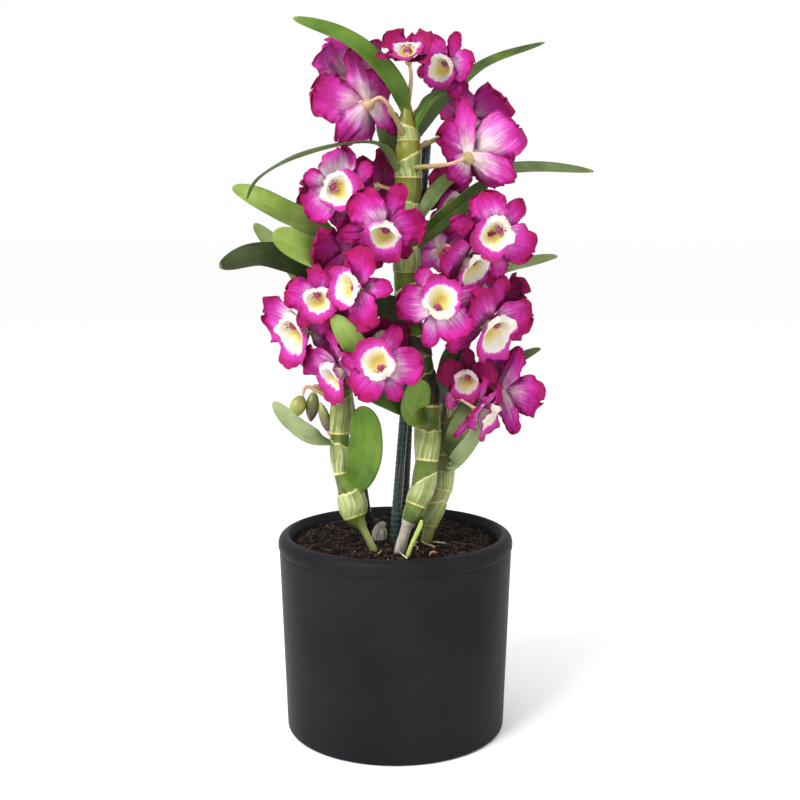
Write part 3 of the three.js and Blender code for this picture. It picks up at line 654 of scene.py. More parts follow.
def petal_material():
    """Magenta deepening to the margin, lilac to white at the base, with veins that fan out, and painted
    shade on blooms in shadow and where other parts stand close.
    """
    s = Shader("petal", Roughness=0.58, Specular_IOR_Level=0.14)
    along, across, face = s.parts("place")
    depth_and_shade, seed, veins = s.parts("tone")
    edge = abs(across)
    streak = s.noise(2.2, 3, 0.6, s.combine(across * 5, along * 0.9, seed * 9))
    cloud = s.noise(90, 2)
    nook_shade = s.nook_shade()
    reach = along + edge * edge * 0.22 + (streak - 0.5) * 0.5 + (cloud - 0.5) * 0.4
    # Painted shade: a bloom's deeper tone, and other parts standing close, turn the colour magenta sooner;
    # the deeper tone is partly the bloom's own colour.
    reach = reach + (depth_and_shade - 0.3) * 0.5 + (seed - 0.5) * 0.24 + nook_shade * 0.35
    front = s.ramp(reach, (0, "#e6dcd8"), (0.34, "#e4d0dc"), (0.48, "#d68cc8"), (0.62, "#c43fa8"),
                   (0.83, "#b21c84"), (1, "#960a54"))
    back = s.ramp(reach, (0, "#ddd3c4"), (0.26, "#dcc4cc"), (0.44, "#cc78bc"), (0.6, "#bf3ca2"),
                  (0.83, "#ad2184"), (1, "#930c56"))
    colour = s.coat(back, (front, face, -0.2, 0.2), ("#800a46", s.noise(55, 3), 0.48, 0.7, 0.45),
                    ("#870844", edge, 0.78, 1, 0.5))
    fan = across * (veins * 3.1416) + streak * 5
    line = abs(fan.sine()) ** 7
    # A bloom's deeper tone lays dark crimson over it: partly its own deeper magenta, partly painted shade on
    # blooms in shadow.
    colour = s.coat(s.mix(line * 0.28, colour, "#7d0848"), ("#6b0532", depth_and_shade, 0.55, 1, 0.55))
    # Painted shade: dark crimson where other parts of the plant stand close.
    colour = s.mix(nook_shade * 0.65, colour, "#5a022c")
    return s.finish(colour, s.bump(line * -0.7 + s.noise(700, 3), 0.45, 0.0005))


def lip_material():
    """Creamy middle with a pale yellow throat, ended by a lumpy edge, and a wide magenta margin, darker on
    deep-toned blooms, partly as painted shade on blooms in shadow.
    """
    s = Shader("lip", Roughness=0.6, Specular_IOR_Level=0.2)
    right, up, inside = s.parts("place")
    depth_and_shade, seed, _ = s.parts("tone")
    flat = s.combine(right, up, 0)
    radius = s.node("VectorMath", {0: flat}, 1, operation="LENGTH")
    way = s.node("VectorMath", {0: flat}, operation="NORMALIZE")
    top_side = (s.node("SeparateXYZ", {0: way}, 1) + 1) * 0.5
    lift = s.combine(0, 0, radius * 0.16 + seed * 9)
    spoke = s.node("VectorMath", {0: way, 1: (7, 7, 7), 2: lift}, operation="MULTIPLY_ADD")
    streak = s.noise(1, 3, 0.6, spoke) - 0.5
    cloud = s.noise(170, 2) - 0.5
    # how far a point is past the start of the margin, which reaches further in on the lower side
    reach = radius + cloud * 3.2 + (seed - 0.5) * 2.6 + streak * 1.8 - (LIP_CREST + 0.1)
    upper_side = s.band(top_side + seed * 0.1, 0.5, 0.95)
    reach = (reach - upper_side * 3.4) * (1 - upper_side * 0.7)
    yellow = radius + (cloud + streak) * 3.5 + top_side * 1.2
    inner = s.coat(
        "#cfcab6",
        ("#d9d0cd", cloud, -0.15, 0.2),
        ("#c878b8", reach, -0.5, 0.3),
        ("#b02c90", reach, 0, 1),
        ("#900e58", reach, 1.5, 5.5),
        ("#7d0848", streak, 0, 0.2, s.band(reach, 0.3, 1.5) * 0.45),
        ("#cfc468", yellow, 8, 5.4, 0.8),
        ("#b99a3c", yellow, 5.8, 3.8, 0.6),
        ("#7a1244", s.noise(900, 2), 0.5, 0.56, s.band(top_side, 0.6, 0.9) * s.band(radius, 7.8, 5.8)),
    )
    outside = radius + streak * 4
    outer = s.coat("#d8ccba", ("#c87bb8", outside, 5, 9.5), ("#a81c7c", outside, 9, 12.8))
    # A bloom's deeper tone darkens the lip: partly its own deeper magenta, partly painted shade on blooms in
    # shadow.
    colour = s.coat(outer, (inner, inside, 0.3, 0.7), ("#6b0532", depth_and_shade, 0.6, 1, 0.35))
    return s.finish(colour, s.bump(s.noise(1500, 2) + streak, 0.4, 0.0004))


def column_material():
    """Creamy column with a pink and magenta cap."""
    s = Shader("column", Roughness=0.4)
    along, _, _ = s.parts("place")
    blotch = s.noise(700, 2)
    colour = s.ramp(along + (blotch - 0.5) * 0.35, (0, "#c4c89c"), (0.4, "#d3cab8"), (0.6, "#c890ac"),
                    (0.78, "#a03878"), (1, "#801448"))
    return s.finish(colour, s.bump(blotch, 0.2, 0.0003))


def stalk_material():
    """Flower stalks and hubs: green where they leave the cane, pinkish beige towards the bloom."""
    s = Shader("stalk", Roughness=0.42)
    along, turn, _ = s.parts("place")
    grain = s.noise(3, 3, at=s.combine(along * 3, turn * 6, 0))
    colour = s.ramp(along + (s.noise(130, 2) - 0.5) * 0.9, (0, "#8a9350"), (0.25, "#a08a5c"),
                    (0.5, "#b98a72"), (0.8, "#cfa48c"), (1, "#d9b79c"))
    return s.finish(s.coat(colour, ("#8d5a4c", grain, 0.5, 0.7, 0.35)), s.bump(grain, 0.25, 0.0003))


# The pale yellow-green pair, given to the broad left leaves, is partly painted highlight, lighter to stand
# for the sheen of light on them.
LEAF_GREENS = {
    "bright": ("#3d5a17", "#587625"), "fresh": ("#67802f", "#8fa457"), "mid": ("#4d6920", "#6f8738"),
    "deep": ("#2a3b10", "#4a611f"), "olive": ("#46542a", "#677748"), "soft": ("#5f6e38", "#84925c"),
    "grey": ("#6d7b50", "#94a274"), "dark": ("#1c260b", "#323f16"),
}


def leaf_material(name, low, high):
    """Satin leaf with parallel veins, a paler midrib and back, a yellow-green base, and painted shade where
    other parts stand close.
    """
    s = Shader("leaf_" + name, Specular_IOR_Level=0.2)
    along, across, face = s.parts("place")
    seed, _, _ = s.parts("tone")
    line = s.noise(2.4, 4, 0.65, s.combine(across * 7, along * 0.7, seed * 9))
    spot = s.noise(420, 1)
    edge = abs(across)
    colour = s.coat(
        low,
        (high, line * 0.35 + s.noise(60, 3) * 0.75, 0.35, 0.75),
        (high, edge, 0.07, 0, 0.45),
        ("#8f9a52", edge, 0.93, 1, 0.4),
        ("#8c9646", along, 0.16, 0, 0.75),
        ("#9a8a4a", along, 0.97, 1, 0.6),
        ("#7d8c55", face, 0.2, -0.2, 0.35),
        ("#4c5a2a", spot, 0.74, 0.8, 0.4),
    )
    # Painted shade: near-black green where other parts of the plant stand close.
    colour = s.mix(s.nook_shade() * 0.75, colour, "#101305")
    return s.finish(colour, s.bump(line + spot * 0.3, 0.3, 0.0005), line * 0.2 + 0.3)


def cane_material():
    """Fleshy cane in papery sheaths, with silvery streaks that are partly painted sheen, yellow torn edges,
    beaded lower edges, and painted shade under the lowest blooms and where other parts stand close.
    """
    s = Shader("cane", Specular_IOR_Level=0.4)
    rise, torn, bare = s.parts("place")
    arc, height, age = s.parts("tone")
    skin = s.combine(arc, height * 0.014, 0)
    streak = s.noise(0.55, 3, 0.6, skin)
    fine = s.noise(1.6, 3, 0.6, skin)
    line = s.noise(3.4, 2, 0.5, skin)
    cloud = s.noise(75, 3)
    # Pale silvery patches on the sheaths: partly their own papery colour, partly painted sheen.
    silver_and_sheen = s.band(s.noise(0.35, 2, 0.5, skin), 0.5, 0.66)
    # the centre and right canes are darker at the height of the lowest blooms: partly an old dark sheath,
    # partly painted shade under those blooms
    sideways = s.node("SeparateXYZ", {0: s.object_place()})
    old = s.band(height, 202, 210) * s.band(height, 270, 258) * s.band(sideways, -0.012, -0.004)
    sheath = s.coat(
        "#667629",
        ("#a3af60", streak, 0.3, 0.75),
        ("#cdcfa6", line, 0.48, 0.64, 0.5),
        ("#424f1a", line, 0.47, 0.34, 0.38),
        ("#4c5c1f", cloud, 0.45, 0.65, 0.42),
        ("#b9bc9c", cloud, 0.6, 0.4, silver_and_sheen, 0.5),
        # Painted shade under the lowest blooms, partly an old dark sheath.
        ("#2b2c17", cloud, 0.2, 0.42, old),
        ("#ead27c", rise, 0.1, 0.02, s.band(fine, 0.4, 0.52), 0.95),
        ("#d9c98a", torn, 1.6, 0.3, 0.8),
    )
    flesh = s.coat(
        "#3b5012",
        ("#5c7021", cloud, 0.35, 0.65),
        ("#7d7a1a", height, 300, 380, 0.7),
        ("#8c8c40", streak, 0.5, 0.7, 0.4),
        (s.coat("#767d40", ("#a8ac6c", streak, 0.35, 0.65)), age, 0.1, 0.5),
        (s.coat("#8a8a66", ("#545a2e", streak, 0.4, 0.6)), age, 0.72, 0.85),
    )
    paper = s.coat("#75685a", ("#d6cfc2", fine, 0.32, 0.6), ("#43362c", streak, 0.54, 0.62, 0.75),
                   ("#8a7862", cloud, 0.52, 0.62, 0.5))
    colour = s.coat(sheath, (flesh, bare, 0.35, 0.65), (paper, age, -0.3, -0.9))
    # Painted shade: near black where other parts of the plant stand close.
    colour = s.mix(s.nook_shade() * 0.8, colour, "#110f06")
    return s.finish(colour, s.bump(streak + fine * 0.6, 0.5, 0.0006), fine * 0.25 + 0.22)


def pot_material():
    """Charcoal pot, matte with a faint grain."""
    s = Shader("pot", Specular_IOR_Level=0.04)
    grain = s.noise(1800, 3, 0.6)
    cloud = s.noise(18, 3)
    colour = s.coat("#19191c", ("#1f1f22", cloud, 0.3, 0.7), ("#1f1f20", grain, 0.55, 0.75, 0.3))
    return s.finish(colour, s.bump(grain, 0.18, 0.0003), cloud * 0.15 + 0.36)


def peat_material():
    """Dark peat, from black to red-brown, crumb by crumb."""
    s = Shader("peat", Roughness=0.95, Specular_IOR_Level=0.1)
    crumb = s.noise(420, 4, 0.7)
    colour = s.coat("#070403", ("#190f0b", crumb, 0.38, 0.62), ("#1c110f", s.noise(110, 3), 0.45, 0.7, 0.5),
                    ("#49362f", crumb, 0.63, 0.72, 0.5))
    return s.finish(colour, s.bump(crumb, 0.9, 0.0015))


def plain_material(name, low, high, scale, roughness):
    """Two near colours in fine noise, for small things such as fibres and crumbs."""
    s = Shader(name, Roughness=roughness)
    grain = s.noise(scale, 3, 0.6)
    return s.finish(s.coat(low, (high, grain, 0.35, 0.65)), s.bump(grain, 0.3, 0.0004))


def stake_material(name, low, high):
    """Moulded plastic with a soft gloss."""
    s = Shader(name, Specular_IOR_Level=0.5)
    grain = s.noise(260, 3, 0.6)
    return s.finish(s.coat(low, (high, grain, 0.35, 0.65)), s.bump(grain, 0.25, 0.0004), grain * 0.2 + 0.16)


def husk_material():
    """Papery husk of the dry old bulb: silvery, with dark creases up its length."""
    s = Shader("dry_bulb", Roughness=0.6, Specular_IOR_Level=0.3)
    along, turn, _ = s.parts("place")
    crease = s.noise(1, 3, 0.6, s.combine(turn * 30, along * 1.5, 0))
    cloud = s.noise(260, 2)
    colour = s.coat("#6b6150", ("#cdc6b6", crease, 0.35, 0.6), ("#4b4236", cloud, 0.5, 0.65, 0.6),
                    ("#c99a3e", along, 0.3, 0.1, s.band(cloud, 0.45, 0.6)))
    return s.finish(colour, s.bump(crease, 0.5, 0.0008))


def bud_material(name, base, middle, tip):
    """Three colours from the stalk to the tip, with fine streaks."""
    s = Shader(name, Roughness=0.4)
    along, turn, _ = s.parts("place")
    streak = s.noise(1.4, 3, 0.6, s.combine(turn * 14, along, 0))
    colour = s.ramp(along + (streak - 0.5) * 0.6, (0, base), (0.5, middle), (1, tip))
    return s.finish(colour, s.bump(streak, 0.3, 0.0004))


# ---- blooms


def bloom_frame(facing, hub):
    """The bloom's own right, up and forward directions as columns, and its hub."""
    azimuth, elevation, roll = (math.radians(angle) for angle in facing)
    forward = np.array([
        math.sin(azimuth) * math.cos(elevation),
        -math.cos(azimuth) * math.cos(elevation),
        math.sin(elevation),
    ])
    right = np.array([math.cos(azimuth), math.sin(azimuth), 0])
    up = np.cross(forward, right)
    turned_right = right * math.cos(roll) + up * math.sin(roll)
    turned_up = up * math.cos(roll) - right * math.sin(roll)
    return np.stack([turned_right, turned_up, forward], 1), np.array(hub, float)


def tepal_blade(build, tepal, angle, index, trait, cup):
    """One sepal or petal, on the same middle sheet as its solid, with a ruffled, uneven margin."""
    angle = math.radians(angle + TEPAL_SPREAD * (vary(index, trait + SPREAD_TRAIT) - 0.5))
    length = tepal["length"] * (1 + TEPAL_GROWTH * (vary(index, trait + GROWTH_TRAIT) - 0.5))
    out = np.array([math.cos(angle), math.sin(angle), 0])
    front = np.array([0, 0, 1.0])
    aside = np.cross(out, front)
    tilt = math.radians(tepal["tilt"] + cup + TILT_SPREAD * (vary(index, trait) - 0.5))
    curl = math.radians(tepal["curl"] + CURL_SPREAD * (vary(index, trait + 1) - 0.5))
    phase = vary(index, trait + 2)
    seed = 31 * index + 7 * trait

    # the grid: t runs along the blade, with rows closer together at its tip, and s across it
    t = (0.004 + 0.994 * (1 - (1 - np.linspace(0, 1, TEPAL_ROWS)) ** 1.35))[:, None]
    s = np.sin(np.linspace(-1, 1, TEPAL_COLUMNS) * math.pi / 2 * EDGE_CROWDING)[None, :]
    t, s = np.broadcast_arrays(t, s / math.sin(math.pi / 2 * EDGE_CROWDING))
    edge = np.abs(s)

    # the middle sheet, as in the solid
    bent = tilt + curl * t
    reach = length * (np.sin(bent) - math.sin(tilt)) / curl
    rise = -length * (np.cos(bent) - math.cos(tilt)) / curl
    normal = -np.sin(bent)[..., None] * out + np.cos(bent)[..., None] * front
    notch = NOTCH * np.sin(TURN * (2.1 * t + phase) + seed + 2 * np.sign(s))
    notch = notch + NOTCH * value_noise(np.stack([9 * t, 3 * np.sign(s) + 0 * t, 0 * t + seed], -1), 0.8)
    half = tepal["width"] / 2 * outline_share(tepal["outline"], t) * (1 + notch * edge**2)
    point = reach[..., None] * out + (tepal["seat"] + rise)[..., None] * front
    point = point + (half * s)[..., None] * aside

    # waves along the edges, ruffles at the margin, the midrib, a trough, pleats and fine crinkles
    ripple = tepal["wave"] * s * s * np.sin(TURN * (RIPPLES * t + phase + 0.25 * s))
    shore = np.maximum(edge, smooth(t, 0.72, 1))
    ruffle = tepal["ruffle"] * shore**4 * smooth(t, 0.15, 0.5)
    swing = np.sin(TURN * (2.9 * t + 0.8 * s + phase) + seed)
    ruffle = ruffle * (1.3 * swing + 0.5 * np.sin(TURN * (6.3 * t - 1.3 * s) + 3 * seed))
    trough = BLADE_TROUGH * half * s * s
    pleat_place = np.stack([5.5 * s, 1.6 * t, 0 * t + 0.37 * seed], -1)
    pleat = tepal["pleat"] * value_noise(pleat_place, 0.9) * smooth(t, 0.08, 0.35) * (0.4 + 0.6 * edge)
    crinkle = CRINKLE * value_noise(point + [index * 7.3, trait * 3.1, 0], 2.4)
    lift = ripple + ruffle + midrib(t, s, 0.1, 0.7) + trough + pleat + crinkle
    build.blade(point + lift[..., None] * normal, normal, half_thickness(BLADE_THICKNESS, t, s), t, s)


def lip_blade(build, index):
    """The flaring, ruffled lip, longer on its lower side."""
    droop = math.radians(LIP_DROOP)
    axis = np.array([0, -math.sin(droop), math.cos(droop)])
    up = np.array([0, math.cos(droop), math.sin(droop)])
    right = np.array([1.0, 0, 0])
    phase = vary(index, 30)
    seed = 17 * index

    # two rows between each pair of the profile's, then one pass of smoothing
    stops = np.array(LIP_PROFILE, float)
    fine = np.linspace(0, 1, 3 * len(stops) - 2)
    coarse = np.linspace(0, 1, len(stops))
    profile = np.stack([np.interp(fine, coarse, stops[:, k]) for k in range(4)], 1)
    inner = profile[1:-1, :3].copy()
    profile[1:-1, :3] = 0.5 * inner + 0.25 * (profile[:-2, :3] + profile[2:, :3])
    place, radius, share, inside = (profile[:, k][:, None] for k in range(4))

    angle = turns(LIP_SIDES)[None, :]
    ruffle = -share * LIP_RUFFLE * np.cos(4 * angle)
    ruffle = ruffle + 1.2 * share**2 * np.sin(5 * angle + seed)
    ruffle = ruffle + 0.6 * share**3 * np.sin(12 * angle + 2 * seed)
    upper = (1 + np.sin(angle)) / 2
    along = place - share * LIP_REACH * np.sin(angle) - 2.4 * share * upper**2 + 1.2 * ruffle
    sway = LIP_SWAY * np.sin(2 * angle + 6 * phase) - LIP_LEAN * np.sin(angle)
    fringe = share**6 * (0.35 * np.sin(17 * angle + seed) + 0.25 * np.sin(31 * angle))
    wide = radius + 0.5 * ruffle + share * sway + fringe

    # lumps of the crest round the pale middle
    around = np.stack([LIP_CREST * np.cos(angle), LIP_CREST * np.sin(angle), 0 * angle + seed], -1)
    lumps = 0.55 * value_noise(around, 1.7) + 0.9 * value_noise(around, 6.0)
    crest = np.exp(-(((radius + lumps - LIP_CREST) / CREST_WIDTH) ** 2)) * inside
    along = along + CREST_HEIGHT * crest * (1 + 0.5 * lumps)

    rings = ring_points(along[..., None] * axis, right, up, wide, angle)
    level = wide + lumps
    places = np.stack([level * np.cos(angle), level * np.sin(angle), inside + 0 * wide], -1)
    build.rings(rings, -0.3 * axis, 3.4 * axis, places, ((0, 1, 0), (0, 1, 1)), material=1)


def column(build):
    """The column, with a broad cap that overhangs the throat."""
    t = np.linspace(0, 1, 16)
    lean = math.radians(COLUMN_RISE)
    direction = np.array([0, math.sin(lean), math.cos(lean)])
    centres = np.array([0, 0.4, 0.4]) + np.outer(t * (COLUMN_LENGTH + COLUMN_CAP), direction)
    centres[:, 1] -= 1.3 * t**3
    radii = np.interp(t, [0, 0.5, 0.66, 0.78, 0.9, 1], [1.8, 1.6, 1.7, 2.3, 2.1, 0.9])
    build.tube(centres, radii, 14, 2, lambda t, angle: 1 + 0.12 * np.cos(2 * angle) * t)


def hub(build):
    """The swollen end of the stalk behind the bloom, drawn out into a short spur."""
    t = np.linspace(0, 1, 14)
    centres = np.stack([0 * t, -0.9 * np.sin(math.pi * t), -HUB_RADIUS - 1.8 + t * (HUB_RADIUS + 4)], 1)
    radii = np.interp(t, [0, 0.15, 0.4, 0.65, 0.85, 1], [1.3, 1.8, 2.9, 3.3, 3.1, 2.2])
    build.tube(centres, radii, 16, 3)


def make_blooms(materials):
    """The tone of a bloom is how deep its magenta is, darker as painted shade on blooms in shadow, a seed
    for each tepal, and the number of its veins.
    """
    tepals = [(SEPAL, angle, 3 * k) for k, angle in enumerate(SEPAL_ANGLES)]
    tepals += [(PETAL, angle, 12 + 3 * k) for k, angle in enumerate(PETAL_ANGLES)]
    for index, (name, _, _, place, facing, size, cup, depth_and_shade) in enumerate(BLOOMS):
        build = Build()
        for k, (tepal, angle, trait) in enumerate(tepals):
            build.tone = (depth_and_shade, vary(index, 40 + k), tepal["veins"])
            tepal_blade(build, tepal, angle, index, trait, cup)
        build.tone = (depth_and_shade, vary(index, 50), 0)
        lip_blade(build, index)
        column(build)
        hub(build)
        basis, origin = bloom_frame(facing, place)
        build.points = [np.concatenate(build.points) * size @ basis.T + origin]
        build.finish("bloom_" + name + "_fine", materials, "petal", ["bloom_" + name])


# ---- leaves


def make_leaf(index, name, width, facing, route, material, replaces):
    t = 0.002 + 0.996 * (1 - (1 - np.linspace(0, 1, LEAF_ROWS)) ** 1.2)
    s = np.linspace(-1, 1, LEAF_COLUMNS)
    centre = curve(route, t)
    tangent = np.array([curve_direction(route, place) for place in t])
    side = unit(np.cross(tangent, unit(facing)))
    normal = np.cross(side, tangent)
    t, s = np.broadcast_arrays(t[:, None], s[None, :])
    half = width / 2 * outline_share(LEAF_OUTLINE, t)
    seed = vary(index, 60)
    sway = 0.35 * s * s * np.sin(TURN * (2.3 * t + seed)) * smooth(t, 0.1, 0.4)
    lift = LEAF_TROUGH * half * s * s + sway + midrib(t, s, 0.12, 0.75)
    middle = centre[:, None] + side[:, None] * (half * s)[..., None] + normal[:, None] * lift[..., None]
    build = Build((seed, 0, 0))
    build.blade(middle, normal[:, None], half_thickness(LEAF_THICKNESS, t, s), t, s)
    build.finish("leaf_" + name + "_fine", [material], "leaf", replaces)


# ---- canes, stalks and buds


def cane_at(cane, heights):
    """Centres and radii of a cane at the given heights, smooth through its table."""
    points = curve(cane, np.linspace(0, 1, 12 * len(cane)))
    return np.stack([np.interp(heights, points[:, 2], points[:, k]) for k in range(4)], 1)


def make_cane(name, material):
    """A cane with its sheaths as raised, torn-edged sleeves."""
    cane = CANES[name]
    heights = np.arange(cane[0][2], cane[-1][2], CANE_STEP)
    spine = cane_at(cane, heights)
    centres, radii = spine[:, :3], spine[:, 3]
    along, side, other = spine_frame(centres, (0, 1, 0))
    level, turn = np.meshgrid(heights, turns(CANE_SIDES), indexing="ij")

    # for the material: the share of a sheath's height, the distance from its torn edge, and 1 where bare
    rise = np.full(level.shape, 1.0)
    torn = np.full(level.shape, 9.0)
    bare = np.ones(level.shape)
    lift = np.zeros(level.shape)
    jag = 1.1 * value_noise(np.stack([8 * np.cos(turn), 8 * np.sin(turn), 0.2 * level], -1), 2.2)
    for low, high, slant, direction in SHEATHS[name]:
        top = high - slant * (1 - np.cos(turn - math.radians(direction))) / 2 + jag
        share = np.clip((level - low) / (top - low), 0, 1)
        covers = smooth(level, low - 0.5, low + 0.5) * (1 - smooth(level, top - 0.5, top + 0.5))
        inside = covers > 0.02
        rise = np.where(inside, share, rise)
        torn = np.where(inside, np.abs(top - level), torn)
        bare = np.minimum(bare, 1 - covers)
        lift = np.maximum(lift, covers * (0.35 + 0.45 * np.sin(math.pi * share)))
    ribs = 0.06 * np.cos(14 * turn + 0.05 * level) + 0.05 * np.cos(9 * turn)
    wide = radii[:, None] + lift + ribs * (1 - bare) - 0.15 * bare
    rings = ring_points(centres[:, None], side[:, None], -other[:, None], wide, turn)[:, ::-1]

    # age is above 0 where the skin is dry, and below 0 where a papery husk wraps the centre cane's foot
    dry = DRY_FOOT[name]
    if name == "centre":
        age = -(1 - smooth(level, dry[1] - 1, dry[1] + 1))
    else:
        age = 0.8 * (1 - smooth(level, *dry))
    if name == "right":
        age = np.maximum(age, 0.55)
    tone = np.stack([turn * radii[:, None], level, age], -1)[:, ::-1]
    build = Build(np.concatenate([tone.reshape(-1, 3), [[0, heights[0], 0]], [[0, heights[-1], 0]]]))
    places = np.stack([rise, torn, bare], -1)[:, ::-1]
    ends = ((1, 9, 1), (1, 9, 1))
    build.rings(rings, centres[0] - along[0], centres[-1] + along[-1] * 1.5, places, ends)
    build.finish("cane_" + name + "_fine", [material], "cane", ["cane_" + name])


def stalk(build, cane, height, end, direction):
    """A stalk from the middle of a cane to a point that it reaches along a direction."""
    start = cane_at(CANES[cane], [height])[0, :3]
    before = end - STALK_LEAD * np.linalg.norm(end - start) * direction
    t = np.linspace(0, 1, 22)
    radii = STALK_RADIUS * np.interp(t, [0, 0.3, 0.45, 0.9, 1], [1.2, 1.05, 0.8, 0.85, 1.1])
    build.tube(curve([start, before, end], t), radii, 10)


def make_stalks(material):
    for cane in CANES:
        build = Build()
        for _, on, height, place, facing, size, _, _ in BLOOMS:
            if on == cane:
                basis, origin = bloom_frame(facing, place)
                forward = basis[:, 2]
                stalk(build, cane, height, origin + forward * (STALK_DEPTH - HUB_RADIUS * size), forward)
        for on, height, base, tip, _ in BUDS.values():
            if on == cane:
                direction = unit(np.subtract(tip, base))
                stalk(build, cane, height, np.add(base, direction * STALK_DEPTH), direction)
        build.finish("stalks_" + cane, [material], "cane")


def make_bud(name, base, tip, radius, material, slot, replaces=()):
    """A bud with the seams of its folded sepals."""
    t = np.linspace(0, 1, 24)
    centres = np.array(base, float) + np.outer(t * 0.97, np.subtract(tip, base))
    radii = radius * np.interp(t, [0, 0.1, 0.28, 0.5, 0.7, 0.88, 1], [0.4, 0.68, 0.95, 1, 0.86, 0.5, 0.12])

    def seams(_, angle):
        return 1 - 0.09 * np.abs(np.cos(1.5 * angle)) ** 8 + 0.02 * np.sin(5 * angle)

    build = Build()
    build.tube(centres, radii, 24, 0, seams)
    build.finish(name, [material], slot, replaces)


# ---- pot, soil and what stands in it


def bezier(start, handle, end, steps):
    """Points of a quadratic curve, without its start."""
    t = np.linspace(0, 1, steps + 1)[1:, None]
    start, handle, end = (np.array(point, float) for point in (start, handle, end))
    return (1 - t) ** 2 * start + 2 * t * (1 - t) * handle + t**2 * end


def make_pot(material):
    """The profile, as radius and height, runs out under the floor, up the wall, over the rim and back in."""
    mouth = RIM_RADIUS - WALL
    foot = (BASE_RADIUS, FOOT_FILLET)
    shoulder = (SHOULDER_RADIUS, SHOULDER_HEIGHT - SHOULDER_EASE)
    groove = (SHOULDER_RADIUS - GROOVE_DEPTH, SHOULDER_HEIGHT + 0.4)
    bead = (RIM_RADIUS, SHOULDER_HEIGHT + 4)
    crest = (CREST_RADIUS, POT_HEIGHT)
    brink = (mouth + 0.4, POT_HEIGHT - 1)
    wall = np.linspace(0, 1, 12)[1:, None]
    profile = np.concatenate([
        [(1, 0), (BASE_RADIUS - FOOT_FILLET, 0)],
        bezier((BASE_RADIUS - FOOT_FILLET, 0), (BASE_RADIUS, 0), foot, 8),
        (1 - wall) * foot + wall * shoulder,
        bezier(shoulder, (SHOULDER_RADIUS, SHOULDER_HEIGHT), groove, 5),
        bezier(groove, (RIM_RADIUS, SHOULDER_HEIGHT + 0.9), bead, 9),
        bezier(bead, (RIM_RADIUS, POT_HEIGHT - 1), crest, 12),
        bezier(crest, (mouth + 0.9, POT_HEIGHT), brink, 5),
        bezier(brink, (mouth - 0.2, POT_HEIGHT - 2.2), (mouth - 1.5, POT_HEIGHT - 4.5), 5),
        [(BASE_RADIUS - WALL, FLOOR), (1, FLOOR)],
    ])
    angle = turns(POT_SIDES)
    radius, height = profile[:, 0][:, None], profile[:, 1][:, None]
    rings = np.stack(np.broadcast_arrays(radius * np.cos(angle), radius * np.sin(angle), height), -1)
    build = Build()
    build.rings(rings, (0, 0, 0), (0, 0, FLOOR))
    build.finish("pot_fine", [material], "pot", ["pot"])


def soil_height(x, y):
    """The peat's surface: low mounds with crumbs on them."""
    level = SOIL_LEVEL + np.interp(np.hypot(x, y), *zip(*SOIL_TOP))
    mound = np.sin(x * 0.31 + 1.3) * np.cos(y * 0.27 + x * 0.11) + 0.6 * np.sin(x * 0.53 - y * 0.47)
    flat = np.stack(np.broadcast_arrays(x, y, 0 * x), -1)
    crumbs = 0.9 * value_noise(flat, 3.1) + 0.65 * value_noise(flat + 50, 1.5)
    return level + 0.7 * mound + (crumbs + 0.4 * np.abs(value_noise(flat + 90, 0.9)))


def make_soil(material):
    below = [SOIL_EDGE - 0.4, BASE_RADIUS - WALL - 0.6]
    radii = np.concatenate([np.linspace(1, SOIL_EDGE, SOIL_RINGS), below])
    angle = turns(SOIL_SIDES)
    x = radii[:, None] * np.cos(angle)
    y = radii[:, None] * np.sin(angle)
    z = soil_height(x, y)
    z[-2] -= 3
    z[-1] = FLOOR + 0.3
    rings = np.stack([x, y, z], -1)
    centre = (0, 0, float(soil_height(np.array(0.0), np.array(0.0))))
    build = Build()
    build.rings(rings[::-1], (0, 0, FLOOR + 0.3), centre)
    build.finish("soil_fine", [material], "soil", ["soil"])


def scatter(random, count, edge):
    """Random places on a disc, as rows of x and y."""
    radius = edge * np.sqrt(random.random(count))
    angle = TURN * random.random(count)
    return np.stack([radius * np.cos(angle), radius * np.sin(angle)], 1)


def make_fibres(name, material, count, seed, length, thick):
    """Thin bent fibres lying on the peat."""
    random = np.random.default_rng(seed)
    build = Build()
    steps = np.linspace(-0.5, 0.5, 7)
    for x, y in scatter(random, count, SOIL_EDGE - 3):
        heading = TURN * random.random()
        turn = heading + random.normal(0, 0.5) * steps
        reach = random.uniform(*length)
        px = x + reach * steps * np.cos(turn)
        py = y + reach * steps * np.sin(turn)
        if (np.hypot(px, py) >= SOIL_EDGE - 1).any():
            continue
        pz = soil_height(px, py) + 0.25 + random.uniform(0, 0.8) * (1 - (2 * steps) ** 2)
        radii = thick * random.uniform(0.7, 1.3) * (1 - 0.6 * np.abs(2 * steps))
        build.tube(np.stack([px, py, pz], 1), radii, 4, up=(0.1, 0.2, 1))
    build.finish(name, [material], "soil")


def make_crumbs(name, material, count, seed, size):
    """Small uneven lumps on the peat."""
    random = np.random.default_rng(seed)
    build = Build()
    t = np.linspace(0.12, 0.88, 5)
    for x, y in scatter(random, count, SOIL_EDGE - 3):
        radius = random.uniform(*size)
        axis = unit([*random.normal(0, 0.5, 2), 1])
        centre = np.array([x, y, float(soil_height(np.array(x), np.array(y))) + 0.15 * radius])
        centres = centre + np.outer((t - 0.5) * 2 * radius, axis)
        lumps = random.uniform(0.7, 1.25, (5, 7))
        radii = radius * np.sin(math.pi * t)
        build.tube(centres, radii, 7, shape=lambda t, angle, lumps=lumps: lumps, up=(1, 0.3, 0))
    build.finish(name, [material], "soil")


